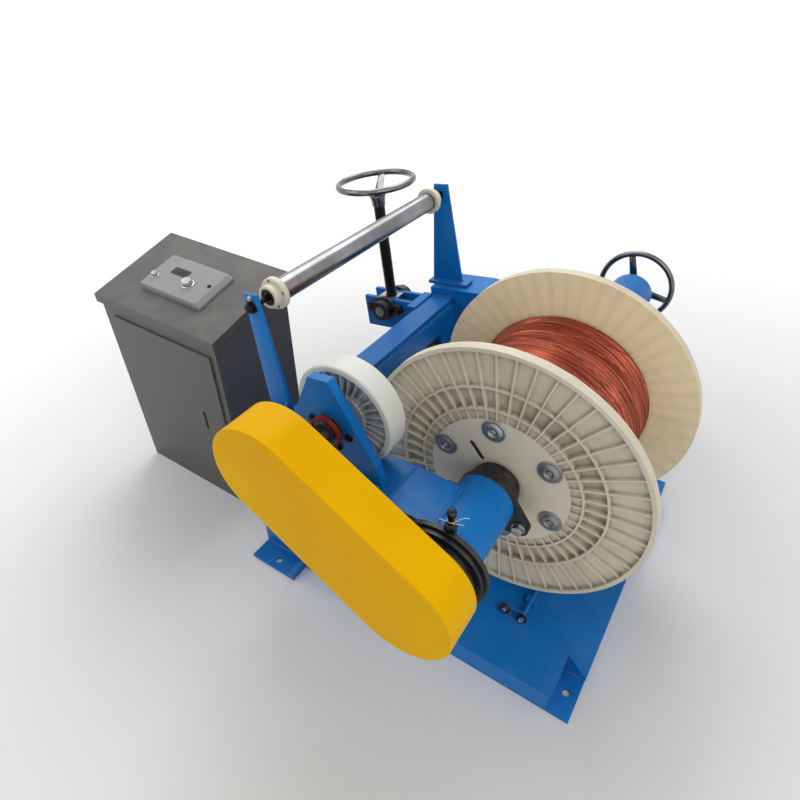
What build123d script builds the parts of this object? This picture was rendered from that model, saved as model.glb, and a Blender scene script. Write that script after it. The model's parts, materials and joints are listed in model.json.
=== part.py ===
from build123d import *
import os
from math import asin, atan2, cos, degrees, hypot, pi, radians, sin

# Wire spool pay-off stand with swinging arms, belt-driven brake and control console.
# Millimetres, +Z up, floor at Z = 0. +Y runs along the spool axis, away from the belt side.
# +X runs from the pivot side to the spool side. The origin is on the floor, midway between the
# two anchor holes of the rear channel.

os.makedirs("parts", exist_ok=True)

# General clearances and plate sizes
running_gap = 0.3
pin_gap = 0.1
plate = 12.0
thin_plate = 8.0
anchor_hole_r = 9.0

# Base frame
base_front_x = 793.0
base_rear_x = -70.0
base_height = 63.0
deck_half_y = 413.0
rear_half_y = 396.0
rear_foot_reach = 66.0
rear_foot_lip = 16.0
rear_foot_lip_height = 22.0
rear_channel_width = 140.0
channel_wall = 6.0
rail_flange = 42.0
deck_thickness = 6.0
corner_pocket_x = 58.0
corner_pocket_y = 113.0
corner_hole_inset_x = 25.0
corner_hole_inset_y = 58.0
deck_corner_cut_x = 50.0
deck_corner_cut_side = 111.0
deck_corner_cut_front = 78.0
foot_plate_thickness = 8.0
rear_hole_inset = 24.0

# Swing frame: pivot, tilt of the arms in the position shown, and places in the frame's
# own side view (u runs along the arm towards the spool, v is square to it)
pivot_x = 39.8
pivot_z = 318.1
arm_tilt = 8.5
spindle_u = 463.3
spindle_v = 33.8
brake_u = 215.0
brake_v = 232.0
roller_u = 5.0
roller_v = 417.0
trunnion_u = -155.0
trunnion_v = 97.0
beam_u = 10.0
beam_v = 92.0
beam_size = 70.0
beam_wall = 5.0
arm_inner_y = 340.0
arm_width = 115.0
arm_rear_u = -30.0
arm_bottom_v = -48.0
arm_top_v = 152.0
arm_shoulder_u = 90.0
near_arm_low_v = 115.0
near_arm_low_u = 152.0
near_arm_ridge_u = 340.0
near_arm_end_v = 90.0
arm_bottom_taper_u = 300.0
arm_end_bottom_v = -24.0

# Pivot shaft, its stands and lugs
pivot_shaft_r = 25.0
pivot_shaft_half = 285.0
stand_y = 200.0
lug_offsets_y = (150.0, 250.0)
lug_thickness = 16.0
lug_r = 42.0
block_centre_height = 57.0
block_base_length = 206.0
block_base_depth = 60.0
block_base_thickness = 18.0
block_boss_r = 50.0
block_bolt_spacing = 159.0
stand_column_x = 96.0
stand_column_y = 70.0
stand_column_wall = 6.0
stand_gusset = 46.0

# Lift screw
lever_y = 305.0
lever_gap = 46.0
lever_thickness = 12.0
lever_height = 100.0
lever_rear_u = -232.0
lever_top_v = 126.0
screw_r = 16.0
screw_bottom_drop = 292.0
screw_head_rise = 333.0
nut_bore_gap = 2.5
nut_height = 56.0
nut_length = 64.0
trunnion_pin_r = 15.0
foot_block = 54.0
foot_pin_r = 12.0
foot_ear_thickness = 12.0
trunnion_bearing_depth = 34.0
trunnion_bearing_r = 38.0
trunnion_lug_spacing = 96.0
trunnion_lug_width = 32.0
trunnion_boss_step = 8.0

# Handwheels
wheel_rim_r = 117.0
wheel_tube_r = 8.5
wheel_hub_r = 21.0
wheel_hub_small_r = 18.0
wheel_spokes = 3
wheel_spoke_width = 24.0
wheel_spoke_thickness = 5.0
lift_wheel_dish = 35.0
lift_hub_length = 50.0
far_wheel_dish = 14.0
lift_first_spoke = 115.0
far_first_spoke = -19.0

# Spindle line
tube_r = 63.5
tube_wall = 11.0
near_tube_start = -472.0
near_tube_end = -297.0
spindle_shaft_r = 25.0
flange_bearing_depth = 46.0
flange_bearing_base = 16.0
flange_bearing_boss_r = 55.0
flange_bearing_lug_reach = 87.5
flange_bearing_lug_r = 20.0
spindle_shaft_start = -586.0

# Spool
spool_near_y = -237.0
spool_width = 376.0
flange_r = 315.0
flange_thickness = 22.0
hub_plate_r = 156.0
barrel_r = 150.0
wire_r = 211.0
spool_bore_r = 36.0
washer_circle_r = 132.0
washer_r = 26.0
washer_height = 8.0
washer_count = 6
washer_phase = 40.0
flange_rim = 9.0
hub_ring_r = 180.0
mid_ring_r = 229.0
flange_ring = 5.0
outer_recess = 10.0
middle_recess = 15.0
inner_recess = 7.0
flange_rib = 4.0
flange_rib_count = 48
start_slot_in = 57.0
start_slot_out = 107.0
start_slot_width = 12.0
start_slot_angle = 131.0

# Far spindle
far_tube_start = 322.0
far_tube_end = 720.0
quill_r = 40.0
quill_travel = 80.0
quill_length = 410.0
quill_nose_gap = 20.0
feed_screw_r = 12.0
far_wheel_y = 773.0
pintle_disc_r = 54.0

# Brake, belt and guard
brake_r = 112.0
brake_near_y = -390.0
brake_length = 55.0
brake_rim = 13.0
brake_recess = 28.0
brake_back_boss_r = 52.0
brake_back_boss = 16.0
brake_fin_count = 30
brake_fin = 3.0
brake_fin_depth = 25.0
brake_disc = 6.0
brake_hub_r = 50.0
brake_hub_depth = 26.0
brake_ring_r = 34.0
brake_ring_depth = 10.0
brake_collar_r = 20.0
brake_collar_length = 9.0
brake_plate_near_y = -428.0
brake_plate_thickness = 20.0
brake_shaft_r = 16.0
pulley_near_y = -580.0
pulley_rim = 9.0
pulley_step = 12.0
belt_near_y = -572.0
belt_width = 36.0
belt_thickness = 7.0
spindle_pulley_r = 86.0
spindle_pulley_far_r = 92.0
brake_pulley_r = 78.0
groove_depth = 9.0
guard_near_y = -609.0
guard_far_y = -523.0
guard_low_r = 112.0
guard_high_r = 106.0
guard_sheet = 3.0
guard_edge_r = 2.5
guard_shift_u = -13.0
guard_shift_v = 8.0

# Guide roller and its posts
near_post_y = -357.0
far_post_y = 383.0
post_bottom_width = 96.0
post_top_width = 36.0
post_top_v = 444.0
roller_r = 24.0
roller_near_y = -262.0
roller_far_y = 336.0
roller_flange_r = 35.0
roller_flange_width = 26.0
axle_r = 6.0
roller_bearing_r = 17.0
roller_bearing_recess = 10.0

# Control console
console_x = -612.0
console_width = 414.0
console_near_y = -338.0
console_depth = 253.0
console_front_height = 575.0
console_back_height = 638.0
console_overhang = 9.0
console_lid = 22.0
console_wall = 4.0
console_door_left = 37.0
console_door_right = 21.0
console_door_low = 80.0
console_door_top_gap = 34.0
console_door_corner = 60.0
console_door_thickness = 5.0
panel_x = -548.0
panel_width = 223.0
panel_near = 78.0
panel_depth = 118.0
panel_height = 16.0
knob_height = 12.0

# Worked out from the sizes above
tilt_cos = cos(radians(arm_tilt))
tilt_sin = sin(radians(arm_tilt))
spool_far_y = spool_near_y + spool_width
rail_height = base_height - deck_thickness


def swing_point(u, v):
    """World X and Z of a point of the swing frame's side view."""
    return (pivot_x + u * tilt_cos - v * tilt_sin, pivot_z + u * tilt_sin + v * tilt_cos)


def side_plane(y, u=0.0, v=0.0):
    """Side view of the swing frame at a given Y; extruding goes towards -Y."""
    x, z = swing_point(u, v)
    return Plane(origin=(x, y, z), x_dir=(tilt_cos, 0, tilt_sin), z_dir=(0, -1, 0))


def upright_plane(x, y, z):
    """Side view through a point, not tilted; extruding goes towards -Y."""
    return Plane(origin=(x, y, z), x_dir=(1, 0, 0), z_dir=(0, -1, 0))


def turning_plane(x, z):
    """Half-section plane of a part turned about a +Y axis: local x is the radius, local y is Y."""
    return Plane(origin=(x, 0, z), x_dir=(1, 0, 0), z_dir=(0, 0, 1))


def save(part, name):
    part.label = name
    export_step(part, "parts/" + name + ".step")


spindle_x, spindle_z = swing_point(spindle_u, spindle_v)
brake_x, brake_z = swing_point(brake_u, brake_v)
roller_x, roller_z = swing_point(roller_u, roller_v)
trunnion_x, trunnion_z = swing_point(trunnion_u, trunnion_v)
screw_dir = (-tilt_sin, 0, tilt_cos)
foot_x = trunnion_x + screw_bottom_drop * tilt_sin
foot_z = trunnion_z - screw_bottom_drop * tilt_cos


# Rear channel: laid flat with its legs down
rear_channel_x = base_rear_x + rear_channel_width / 2
with BuildPart() as base_rear_channel:
    with BuildSketch(Plane.XZ.offset(-rear_half_y)):
        with Locations((rear_channel_x, base_height / 2)):
            Rectangle(rear_channel_width, base_height)
        with Locations((rear_channel_x, (base_height - channel_wall) / 2)):
            Rectangle(rear_channel_width - 2 * channel_wall, base_height - channel_wall, mode=Mode.SUBTRACT)
    extrude(amount=2 * rear_half_y)
save(base_rear_channel.part, "base_rear_channel")

# Anchor feet: a floor plate on each end of the rear channel, with an end wall and a raised lip
rear_hole_y = rear_half_y + rear_foot_reach - rear_hole_inset
with BuildPart() as rear_anchor_feet:
    for side in (-1, 1):
        foot_mid_y = side * (rear_half_y + rear_foot_reach / 2)
        with BuildSketch(Plane.XY):
            with Locations((rear_channel_x, foot_mid_y)):
                Rectangle(rear_channel_width, rear_foot_reach)
            with Locations((rear_channel_x, side * rear_hole_y)):
                Circle(anchor_hole_r, mode=Mode.SUBTRACT)
        extrude(amount=foot_plate_thickness)
        with BuildSketch(Plane.XY):
            with Locations((rear_channel_x, side * (rear_half_y + channel_wall / 2))):
                Rectangle(rear_channel_width, channel_wall)
        extrude(amount=base_height)
        with BuildSketch(Plane.XY):
            with Locations((rear_channel_x + (rear_channel_width - rear_foot_lip) / 2, foot_mid_y)):
                Rectangle(rear_foot_lip, rear_foot_reach)
        extrude(amount=rear_foot_lip_height)
save(rear_anchor_feet.part, "rear_anchor_feet")

# Rails: two side channels along X and one across the front, all open to the inside
rail_start_x = base_rear_x + rear_channel_width
side_rail_length = base_front_x - corner_pocket_x - rail_start_x
front_rail_half = deck_half_y - corner_pocket_y
with BuildPart() as base_rails:
    for side in (-1, 1):
        with BuildSketch(Plane.YZ.offset(rail_start_x)):
            with Locations((side * (deck_half_y - rail_flange / 2), rail_height / 2)):
                Rectangle(rail_flange, rail_height)
            with Locations((side * (deck_half_y - rail_flange / 2 - channel_wall / 2), rail_height / 2)):
                Rectangle(rail_flange - channel_wall, rail_height - 2 * channel_wall, mode=Mode.SUBTRACT)
        extrude(amount=side_rail_length)
    with BuildSketch(Plane.XZ.offset(-front_rail_half)):
        with Locations((base_front_x - rail_flange / 2, rail_height / 2)):
            Rectangle(rail_flange, rail_height)
        with Locations((base_front_x - rail_flange / 2 - channel_wall / 2, rail_height / 2)):
            Rectangle(rail_flange - channel_wall, rail_height - 2 * channel_wall, mode=Mode.SUBTRACT)
    extrude(amount=2 * front_rail_half)
save(base_rails.part, "base_rails")

# Corner pockets: a floor plate with the anchor hole, two walls and a gusset
pocket_wall_x = base_front_x - corner_pocket_x
pocket_wall_y = deck_half_y - corner_pocket_y
corner_hole_x = base_front_x - corner_hole_inset_x
corner_hole_y = deck_half_y - corner_hole_inset_y
with BuildPart() as base_corner_pockets:
    for side in (-1, 1):
        with BuildSketch(Plane.XY):
            with Locations((base_front_x - corner_pocket_x / 2, side * (deck_half_y - corner_pocket_y / 2))):
                Rectangle(corner_pocket_x, corner_pocket_y)
            with Locations((corner_hole_x, side * corner_hole_y)):
                Circle(anchor_hole_r, mode=Mode.SUBTRACT)
        extrude(amount=foot_plate_thickness)
        with BuildSketch(Plane.XY.offset(foot_plate_thickness)):
            with Locations((pocket_wall_x + channel_wall / 2, side * (deck_half_y - corner_pocket_y / 2))):
                Rectangle(channel_wall, corner_pocket_y)
            with Locations((base_front_x - corner_pocket_x / 2, side * (pocket_wall_y + channel_wall / 2))):
                Rectangle(corner_pocket_x, channel_wall)
        extrude(amount=rail_height - foot_plate_thickness)
save(base_corner_pockets.part, "base_corner_pockets")

# Deck plate: covers the rails, with its front corners cut away over the anchor bolts
with BuildPart() as base_deck_plate:
    with BuildSketch(Plane.XY.offset(rail_height)):
        with BuildLine():
            Polyline(
                (rail_start_x, -deck_half_y),
                (base_front_x - deck_corner_cut_x, -deck_half_y),
                (base_front_x - deck_corner_cut_x, -deck_half_y + deck_corner_cut_side),
                (base_front_x, -deck_half_y + deck_corner_cut_front),
                (base_front_x, deck_half_y - deck_corner_cut_front),
                (base_front_x - deck_corner_cut_x, deck_half_y - deck_corner_cut_side),
                (base_front_x - deck_corner_cut_x, deck_half_y),
                (rail_start_x, deck_half_y),
                close=True,
            )
        make_face()
    extrude(amount=deck_thickness)
save(base_deck_plate.part, "base_deck_plate")

# Pivot stands: foot plate, square-tube column with a gusset front and back, head plate
stand_head_z = pivot_z - block_centre_height
head_plate = 12.0
stand_foot = 10.0
column_bottom_z = base_height + stand_foot
column_top_z = stand_head_z - head_plate
with BuildPart() as pivot_stands:
    for side in (-1, 1):
        with BuildSketch(Plane.XY.offset(base_height)):
            with Locations((pivot_x, side * stand_y)):
                Rectangle(stand_column_x + stand_gusset, stand_column_y + 2 * plate)
        extrude(amount=stand_foot)
        with BuildSketch(Plane.XY.offset(column_bottom_z)):
            with Locations((pivot_x, side * stand_y)):
                Rectangle(stand_column_x, stand_column_y)
                Rectangle(
                    stand_column_x - 2 * stand_column_wall,
                    stand_column_y - 2 * stand_column_wall,
                    mode=Mode.SUBTRACT,
                )
        extrude(amount=column_top_z - column_bottom_z)
        with BuildSketch(Plane.XZ.offset(-(side * stand_y + thin_plate / 2))):
            for end in (-1, 1):
                with BuildLine():
                    Polyline(
                        (pivot_x + end * stand_column_x / 2, column_top_z),
                        (pivot_x + end * (stand_column_x / 2 + stand_gusset), column_top_z),
                        (pivot_x + end * stand_column_x / 2, column_top_z - 2 * stand_gusset),
                        close=True,
                    )
                make_face()
        extrude(amount=thin_plate)
        with BuildSketch(Plane.XY.offset(column_top_z)):
            with Locations((pivot_x, side * stand_y)):
                Rectangle(block_base_length, stand_column_y)
        extrude(amount=head_plate)
save(pivot_stands.part, "pivot_stands")

# Pillow blocks: foot with two bolt slots and a round housing over it
with BuildPart() as pivot_pillow_blocks:
    for side in (-1, 1):
        with BuildSketch(Plane.XZ.offset(-(side * stand_y + block_base_depth / 2))):
            with Locations((pivot_x, stand_head_z + block_base_thickness / 2)):
                Rectangle(block_base_length, block_base_thickness)
            with Locations((pivot_x, pivot_z)):
                Circle(block_boss_r)
            with Locations((pivot_x, stand_head_z + block_centre_height / 2)):
                Rectangle(1.7 * block_boss_r, block_centre_height)
            with Locations((pivot_x, pivot_z)):
                Circle(pivot_shaft_r + pin_gap, mode=Mode.SUBTRACT)
        extrude(amount=block_base_depth)
save(pivot_pillow_blocks.part, "pivot_pillow_blocks")

# Screw foot bracket: two ears welded to the back of the rear channel
ear_spread = foot_block + 2 * running_gap
ear_front_x = base_rear_x
ear_r = 26.0
with BuildPart() as screw_foot_bracket:
    for side in (-1, 1):
        ear_mid_y = lever_y + side * (ear_spread + foot_ear_thickness) / 2
        with BuildSketch(Plane.XZ.offset(-(ear_mid_y + foot_ear_thickness / 2))):
            with BuildLine():
                Polyline(
                    (ear_front_x, foot_plate_thickness),
                    (ear_front_x, base_height + foot_plate_thickness),
                    (foot_x + ear_r, foot_z),
                    (foot_x, foot_z + ear_r),
                    (foot_x - ear_r, foot_z),
                    (foot_x - ear_r, foot_plate_thickness),
                    close=True,
                )
            make_face()
            with Locations((foot_x, foot_z)):
                Circle(ear_r)
                Circle(foot_pin_r + pin_gap, mode=Mode.SUBTRACT)
        extrude(amount=foot_ear_thickness)
    with BuildSketch(Plane.XY):
        with Locations(((ear_front_x + foot_x - ear_r) / 2, lever_y)):
            Rectangle(ear_front_x - foot_x + ear_r, ear_spread + 2 * foot_ear_thickness)
    extrude(amount=foot_plate_thickness)
save(screw_foot_bracket.part, "screw_foot_bracket")

# Spool stop: a bar along the deck that keeps a lowered spool from rolling off, held in two
# blocks, with a bent link at its near end that carries a small roller
stop_x = 620.0
stop_near_y = -276.0
stop_length = 470.0
stop_bar_r = 5.0
stop_z = 76.0
stop_block_x = 24.0
stop_block_y = 20.0
stop_block_inset = 50.0
stop_roller_spacing = 45.0
stop_roller_r = 12.0
stop_roller_width = 12.0
stop_link_width = 10.0
stop_link_thickness = 5.0
with BuildPart() as spool_stop_blocks:
    with BuildSketch(Plane.XY.offset(base_height)):
        with Locations(
            (stop_x, stop_near_y + stop_block_inset), (stop_x, stop_near_y + stop_length - stop_block_inset)
        ):
            Rectangle(stop_block_x, stop_block_y)
    extrude(amount=stop_z - base_height + stop_bar_r / 2)
    with BuildSketch(Plane.XZ.offset(-(stop_near_y + stop_length))):
        with Locations((stop_x, stop_z)):
            Circle(stop_bar_r)
    extrude(amount=stop_length, mode=Mode.SUBTRACT)
save(spool_stop_blocks.part, "spool_stop_blocks")

stop_link_y = stop_near_y + stop_link_thickness
stop_pin_r = 4.0
with BuildPart() as spool_stop_bar:
    with BuildSketch(Plane.XZ.offset(-(stop_near_y + stop_length))):
        with Locations((stop_x, stop_z)):
            Circle(stop_bar_r)
    extrude(amount=stop_length)
    with BuildSketch(Plane.XZ.offset(-stop_link_y)):
        with Locations((stop_x - stop_roller_spacing / 2, stop_z)):
            SlotCenterToCenter(stop_roller_spacing, stop_link_width)
    extrude(amount=stop_link_thickness)
    with BuildSketch(Plane.XZ.offset(-stop_near_y)):
        with Locations((stop_x - stop_roller_spacing, stop_z)):
            Circle(stop_pin_r)
    extrude(amount=stop_roller_width + stop_link_thickness / 2)
save(spool_stop_bar.part, "spool_stop_bar")

with BuildPart() as spool_stop_roller:
    with BuildSketch(Plane.XZ.offset(-(stop_near_y - running_gap))):
        with Locations((stop_x - stop_roller_spacing, stop_z)):
            Circle(stop_roller_r)
            Circle(stop_pin_r, mode=Mode.SUBTRACT)
    extrude(amount=stop_roller_width - running_gap)
save(spool_stop_roller.part, "spool_stop_roller")

# Control console: body with a top that slopes down to the operator, lid, door, panel, knobs
console_far_y = console_near_y + console_depth
lid_rise = console_back_height - console_front_height
lid_angle = degrees(atan2(lid_rise, console_depth))
with BuildPart() as console_body:
    with BuildSketch(Plane.YZ.offset(console_x)):
        with BuildLine():
            Polyline(
                (console_near_y, 0),
                (console_far_y, 0),
                (console_far_y, console_back_height - console_lid),
                (console_near_y, console_front_height - console_lid),
                close=True,
            )
        make_face()
    extrude(amount=console_width)
    with BuildSketch(Plane.XY.offset(console_wall)):
        with Locations((console_x + console_width / 2, console_near_y + console_depth / 2)):
            Rectangle(console_width - 2 * console_wall, console_depth - 2 * console_wall)
    extrude(amount=console_back_height, mode=Mode.SUBTRACT)
save(console_body.part, "console_body")

with BuildPart() as console_lid_cover:
    with BuildSketch(Plane.YZ.offset(console_x - console_overhang)):
        with BuildLine():
            Polyline(
                (console_near_y - console_overhang, console_front_height - console_lid - lid_rise / console_depth * console_overhang),
                (console_far_y + console_overhang, console_back_height - console_lid + lid_rise / console_depth * console_overhang),
                (console_far_y + console_overhang, console_back_height + lid_rise / console_depth * console_overhang),
                (console_near_y - console_overhang, console_front_height - lid_rise / console_depth * console_overhang),
                close=True,
            )
        make_face()
    extrude(amount=console_width + 2 * console_overhang)
save(console_lid_cover.part, "console_lid")

# Door: rounded at its lower corner, with an upright slot handle
door_left_x = console_x + console_door_left
door_right_x = console_x + console_width - console_door_right
door_top_z = console_front_height - console_lid - console_door_top_gap
slot_inset = 76.0
slot_mid_z = 290.0
slot_length = 62.0
slot_width = 9.0
with BuildPart() as console_door:
    with BuildSketch(Plane.XZ.offset(-console_near_y)):
        with BuildLine():
            FilletPolyline(
                (door_left_x, door_top_z),
                (door_left_x, console_door_low),
                (door_right_x, console_door_low),
                radius=console_door_corner,
            )
            Line((door_right_x, console_door_low), (door_right_x, door_top_z))
            Line((door_right_x, door_top_z), (door_left_x, door_top_z))
        make_face()
        with Locations((door_right_x - slot_inset, slot_mid_z)):
            SlotOverall(slot_length, slot_width, rotation=90, mode=Mode.SUBTRACT)
    extrude(amount=console_door_thickness)
save(console_door.part, "console_door")

lid_plane = Plane(
    origin=(console_x, console_near_y, console_front_height),
    x_dir=(1, 0, 0),
    z_dir=(0, -sin(radians(lid_angle)), cos(radians(lid_angle))),
)
panel_mid_x = panel_x - console_x + panel_width / 2
panel_mid_y = panel_near + panel_depth / 2
with BuildPart() as control_panel:
    with BuildSketch(lid_plane):
        with Locations((panel_mid_x, panel_mid_y)):
            Rectangle(panel_width, panel_depth)
    extrude(amount=panel_height, taper=12)
save(control_panel.part, "control_panel")

knobs = ((-73.0, -33.0, 9.0), (37.0, -20.0, 13.0))
with BuildPart() as panel_knobs:
    with BuildSketch(lid_plane.offset(panel_height)):
        for knob_dx, knob_dy, knob_r in knobs:
            with Locations((panel_mid_x + knob_dx, panel_mid_y + knob_dy)):
                Circle(knob_r)
    extrude(amount=knob_height, taper=6)
save(panel_knobs.part, "panel_knobs")

# Swing frame: cross beam, a square tube between the arms
with BuildPart() as cross_beam:
    with BuildSketch(side_plane(arm_inner_y)):
        with Locations((beam_u, beam_v)):
            Rectangle(beam_size, beam_size)
            Rectangle(beam_size - 2 * beam_wall, beam_size - 2 * beam_wall, mode=Mode.SUBTRACT)
    extrude(amount=2 * arm_inner_y)
save(cross_beam.part, "cross_beam")

# Face plate on the spool side of the beam, cut away over the pillow blocks
beam_bottom_v = beam_v - beam_size / 2
face_plate_top_v = beam_v + 18.0
face_plate_bottom_v = -18.0
with BuildPart() as beam_face_plate:
    with BuildSketch(side_plane(arm_inner_y)):
        with Locations(
            (beam_u + (beam_size + thin_plate) / 2, (face_plate_top_v + face_plate_bottom_v) / 2)
        ):
            Rectangle(thin_plate, face_plate_top_v - face_plate_bottom_v)
    extrude(amount=2 * arm_inner_y)
    notch_width = lug_offsets_y[1] - lug_offsets_y[0] - lug_thickness
    for side in (-1, 1):
        with BuildSketch(side_plane(side * stand_y + notch_width / 2)):
            with Locations((beam_u + (beam_size + thin_plate) / 2, (beam_bottom_v + face_plate_bottom_v) / 2)):
                Rectangle(thin_plate, beam_bottom_v - face_plate_bottom_v)
        extrude(amount=notch_width, mode=Mode.SUBTRACT)
save(beam_face_plate.part, "beam_face_plate")

# Pivot lugs: plates under the beam, clamped on the pivot shaft
with BuildPart() as pivot_lugs:
    for side in (-1, 1):
        for offset_y in lug_offsets_y:
            with BuildSketch(side_plane(side * offset_y + lug_thickness / 2)):
                Circle(lug_r)
                with BuildLine():
                    Polyline(
                        (-lug_r, 0), (lug_r, 0), (beam_u + beam_size / 2, beam_bottom_v),
                        (beam_u - beam_size / 2, beam_bottom_v), close=True,
                    )
                make_face()
                Circle(pivot_shaft_r, mode=Mode.SUBTRACT)
            extrude(amount=lug_thickness)
save(pivot_lugs.part, "pivot_lugs")

with BuildPart() as pivot_shaft:
    with BuildSketch(side_plane(pivot_shaft_half)):
        Circle(pivot_shaft_r)
    extrude(amount=2 * pivot_shaft_half)
    chamfer(pivot_shaft.edges().filter_by(GeomType.CIRCLE), 2)
save(pivot_shaft.part, "pivot_shaft")

# Near arm: deep at the beam, lower under the brake, ending against the spindle tube
arm_outer_y = arm_inner_y + arm_width
with BuildPart() as near_arm:
    with BuildSketch(side_plane(-arm_inner_y)):
        with BuildLine():
            Polyline(
                (arm_rear_u, arm_bottom_v),
                (arm_bottom_taper_u, arm_bottom_v),
                (spindle_u, arm_end_bottom_v),
                (spindle_u, near_arm_end_v),
                (near_arm_ridge_u, near_arm_low_v),
                (near_arm_low_u, near_arm_low_v),
                (arm_shoulder_u, arm_top_v),
                (arm_rear_u, arm_top_v),
                close=True,
            )
        make_face()
        with Locations((spindle_u, spindle_v)):
            Circle(tube_r, mode=Mode.SUBTRACT)
    extrude(amount=arm_width)
save(near_arm.part, "near_arm")

# Far arm: the same, without the dip
with BuildPart() as far_arm:
    with BuildSketch(side_plane(arm_outer_y)):
        with BuildLine():
            Polyline(
                (arm_rear_u, arm_bottom_v),
                (arm_bottom_taper_u, arm_bottom_v),
                (spindle_u, arm_end_bottom_v),
                (spindle_u, near_arm_end_v),
                (near_arm_ridge_u, near_arm_low_v),
                (arm_shoulder_u + 40, arm_top_v),
                (arm_rear_u, arm_top_v),
                close=True,
            )
        make_face()
        with Locations((spindle_u, spindle_v)):
            Circle(tube_r, mode=Mode.SUBTRACT)
    extrude(amount=arm_width)
save(far_arm.part, "far_arm")

# Lever plates behind the beam, bored for the trunnion pins of the lift nut
lever_front_u = beam_u - beam_size / 2
lever_bottom_v = lever_top_v - lever_height
with BuildPart() as lever_plates:
    for side in (-1, 1):
        lever_outer = lever_y + side * (lever_gap + lever_thickness) / 2 + lever_thickness / 2
        with BuildSketch(side_plane(lever_outer)):
            with BuildLine():
                Polyline(
                    (lever_rear_u, lever_top_v),
                    (lever_front_u, lever_top_v),
                    (lever_front_u, beam_bottom_v),
                    (trunnion_u, lever_bottom_v),
                    (lever_rear_u, lever_bottom_v),
                    close=True,
                )
            make_face()
            with Locations((trunnion_u, trunnion_v)):
                Circle(trunnion_pin_r + pin_gap, mode=Mode.SUBTRACT)
        extrude(amount=lever_thickness)
save(lever_plates.part, "lever_plates")

# Tie plate welded across the levers, behind the beam
tie_plate_depth = 29.0
tie_plate_overhang_near = 33.0
tie_plate_far_inset = 0.5
tie_plate_thickness = 6.0
lever_outside = lever_gap / 2 + lever_thickness
tie_plate_length = 2 * lever_outside + tie_plate_overhang_near - tie_plate_far_inset
with BuildPart() as lever_tie_plate:
    with BuildSketch(side_plane(lever_y + lever_outside - tie_plate_far_inset)):
        with Locations((lever_front_u - tie_plate_depth / 2, lever_top_v + tie_plate_thickness / 2)):
            Rectangle(tie_plate_depth, tie_plate_thickness)
    extrude(amount=tie_plate_length)
save(lever_tie_plate.part, "lever_tie_plate")

# Two-bolt bearings on the outer faces of the levers
with BuildPart() as trunnion_bearings:
    for side in (-1, 1):
        seat_y = lever_y + side * (lever_gap / 2 + lever_thickness)
        start_y = seat_y if side < 0 else seat_y + trunnion_bearing_depth
        flange_start_y = seat_y if side < 0 else seat_y + plate
        with BuildSketch(side_plane(flange_start_y)):
            with Locations((trunnion_u, trunnion_v)):
                SlotCenterToCenter(trunnion_lug_spacing, trunnion_lug_width)
                Circle(trunnion_bearing_r)
                Circle(trunnion_pin_r + pin_gap, mode=Mode.SUBTRACT)
        extrude(amount=plate)
        with BuildSketch(side_plane(start_y)):
            with Locations((trunnion_u, trunnion_v)):
                Circle(trunnion_bearing_r - trunnion_boss_step)
                Circle(trunnion_pin_r + pin_gap, mode=Mode.SUBTRACT)
        extrude(amount=trunnion_bearing_depth)
save(trunnion_bearings.part, "trunnion_bearings")

# Lift nut: a block between the levers, bored clear of the screw, with a pin on each side
screw_plane = Plane(origin=(trunnion_x, lever_y, trunnion_z), x_dir=(tilt_cos, 0, tilt_sin), z_dir=screw_dir)
nut_width = lever_gap - 2.0
pin_reach = lever_gap / 2 + lever_thickness + trunnion_bearing_depth + 4
with BuildPart() as lift_nut:
    with BuildSketch(screw_plane.offset(-nut_height / 2)):
        Rectangle(nut_length, nut_width)
    extrude(amount=nut_height)
    with BuildSketch(side_plane(lever_y + pin_reach, trunnion_u, trunnion_v)):
        Circle(trunnion_pin_r)
    extrude(amount=2 * pin_reach)
    with BuildSketch(screw_plane.offset(-nut_height / 2)):
        Circle(screw_r + nut_bore_gap)
    extrude(amount=nut_height, mode=Mode.SUBTRACT)
save(lift_nut.part, "lift_nut")

# Screw foot: a swivel block pinned in the bracket, bored for the screw's lower journal
journal_r = 11.0
journal_depth = 34.0
foot_plane = Plane(origin=(foot_x, lever_y, foot_z), x_dir=(tilt_cos, 0, tilt_sin), z_dir=screw_dir)
foot_pin_reach = ear_spread / 2 + foot_ear_thickness + 6
with BuildPart() as screw_foot:
    with BuildSketch(foot_plane.offset(-foot_block / 2)):
        RectangleRounded(foot_block - 10, foot_block, 4)
    extrude(amount=foot_block)
    with BuildSketch(Plane(origin=(foot_x, lever_y + foot_pin_reach, foot_z), x_dir=(1, 0, 0), z_dir=(0, -1, 0))):
        Circle(foot_pin_r)
    extrude(amount=2 * foot_pin_reach)
    with BuildSketch(foot_plane.offset(foot_block / 2)):
        Circle(journal_r + pin_gap)
    extrude(amount=-journal_depth, mode=Mode.SUBTRACT)
save(screw_foot.part, "screw_foot")

# Lift screw: round bar with a lower journal
with BuildPart() as lift_screw:
    with BuildSketch(foot_plane.offset(foot_block / 2 + running_gap)):
        Circle(screw_r)
    extrude(amount=screw_bottom_drop - foot_block / 2 - running_gap + screw_head_rise)
    with BuildSketch(foot_plane.offset(foot_block / 2 - journal_depth + running_gap)):
        Circle(journal_r)
    extrude(amount=journal_depth)
save(lift_screw.part, "lift_screw")

# Handwheels: round rim, flat spokes and a tapered hub


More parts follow.
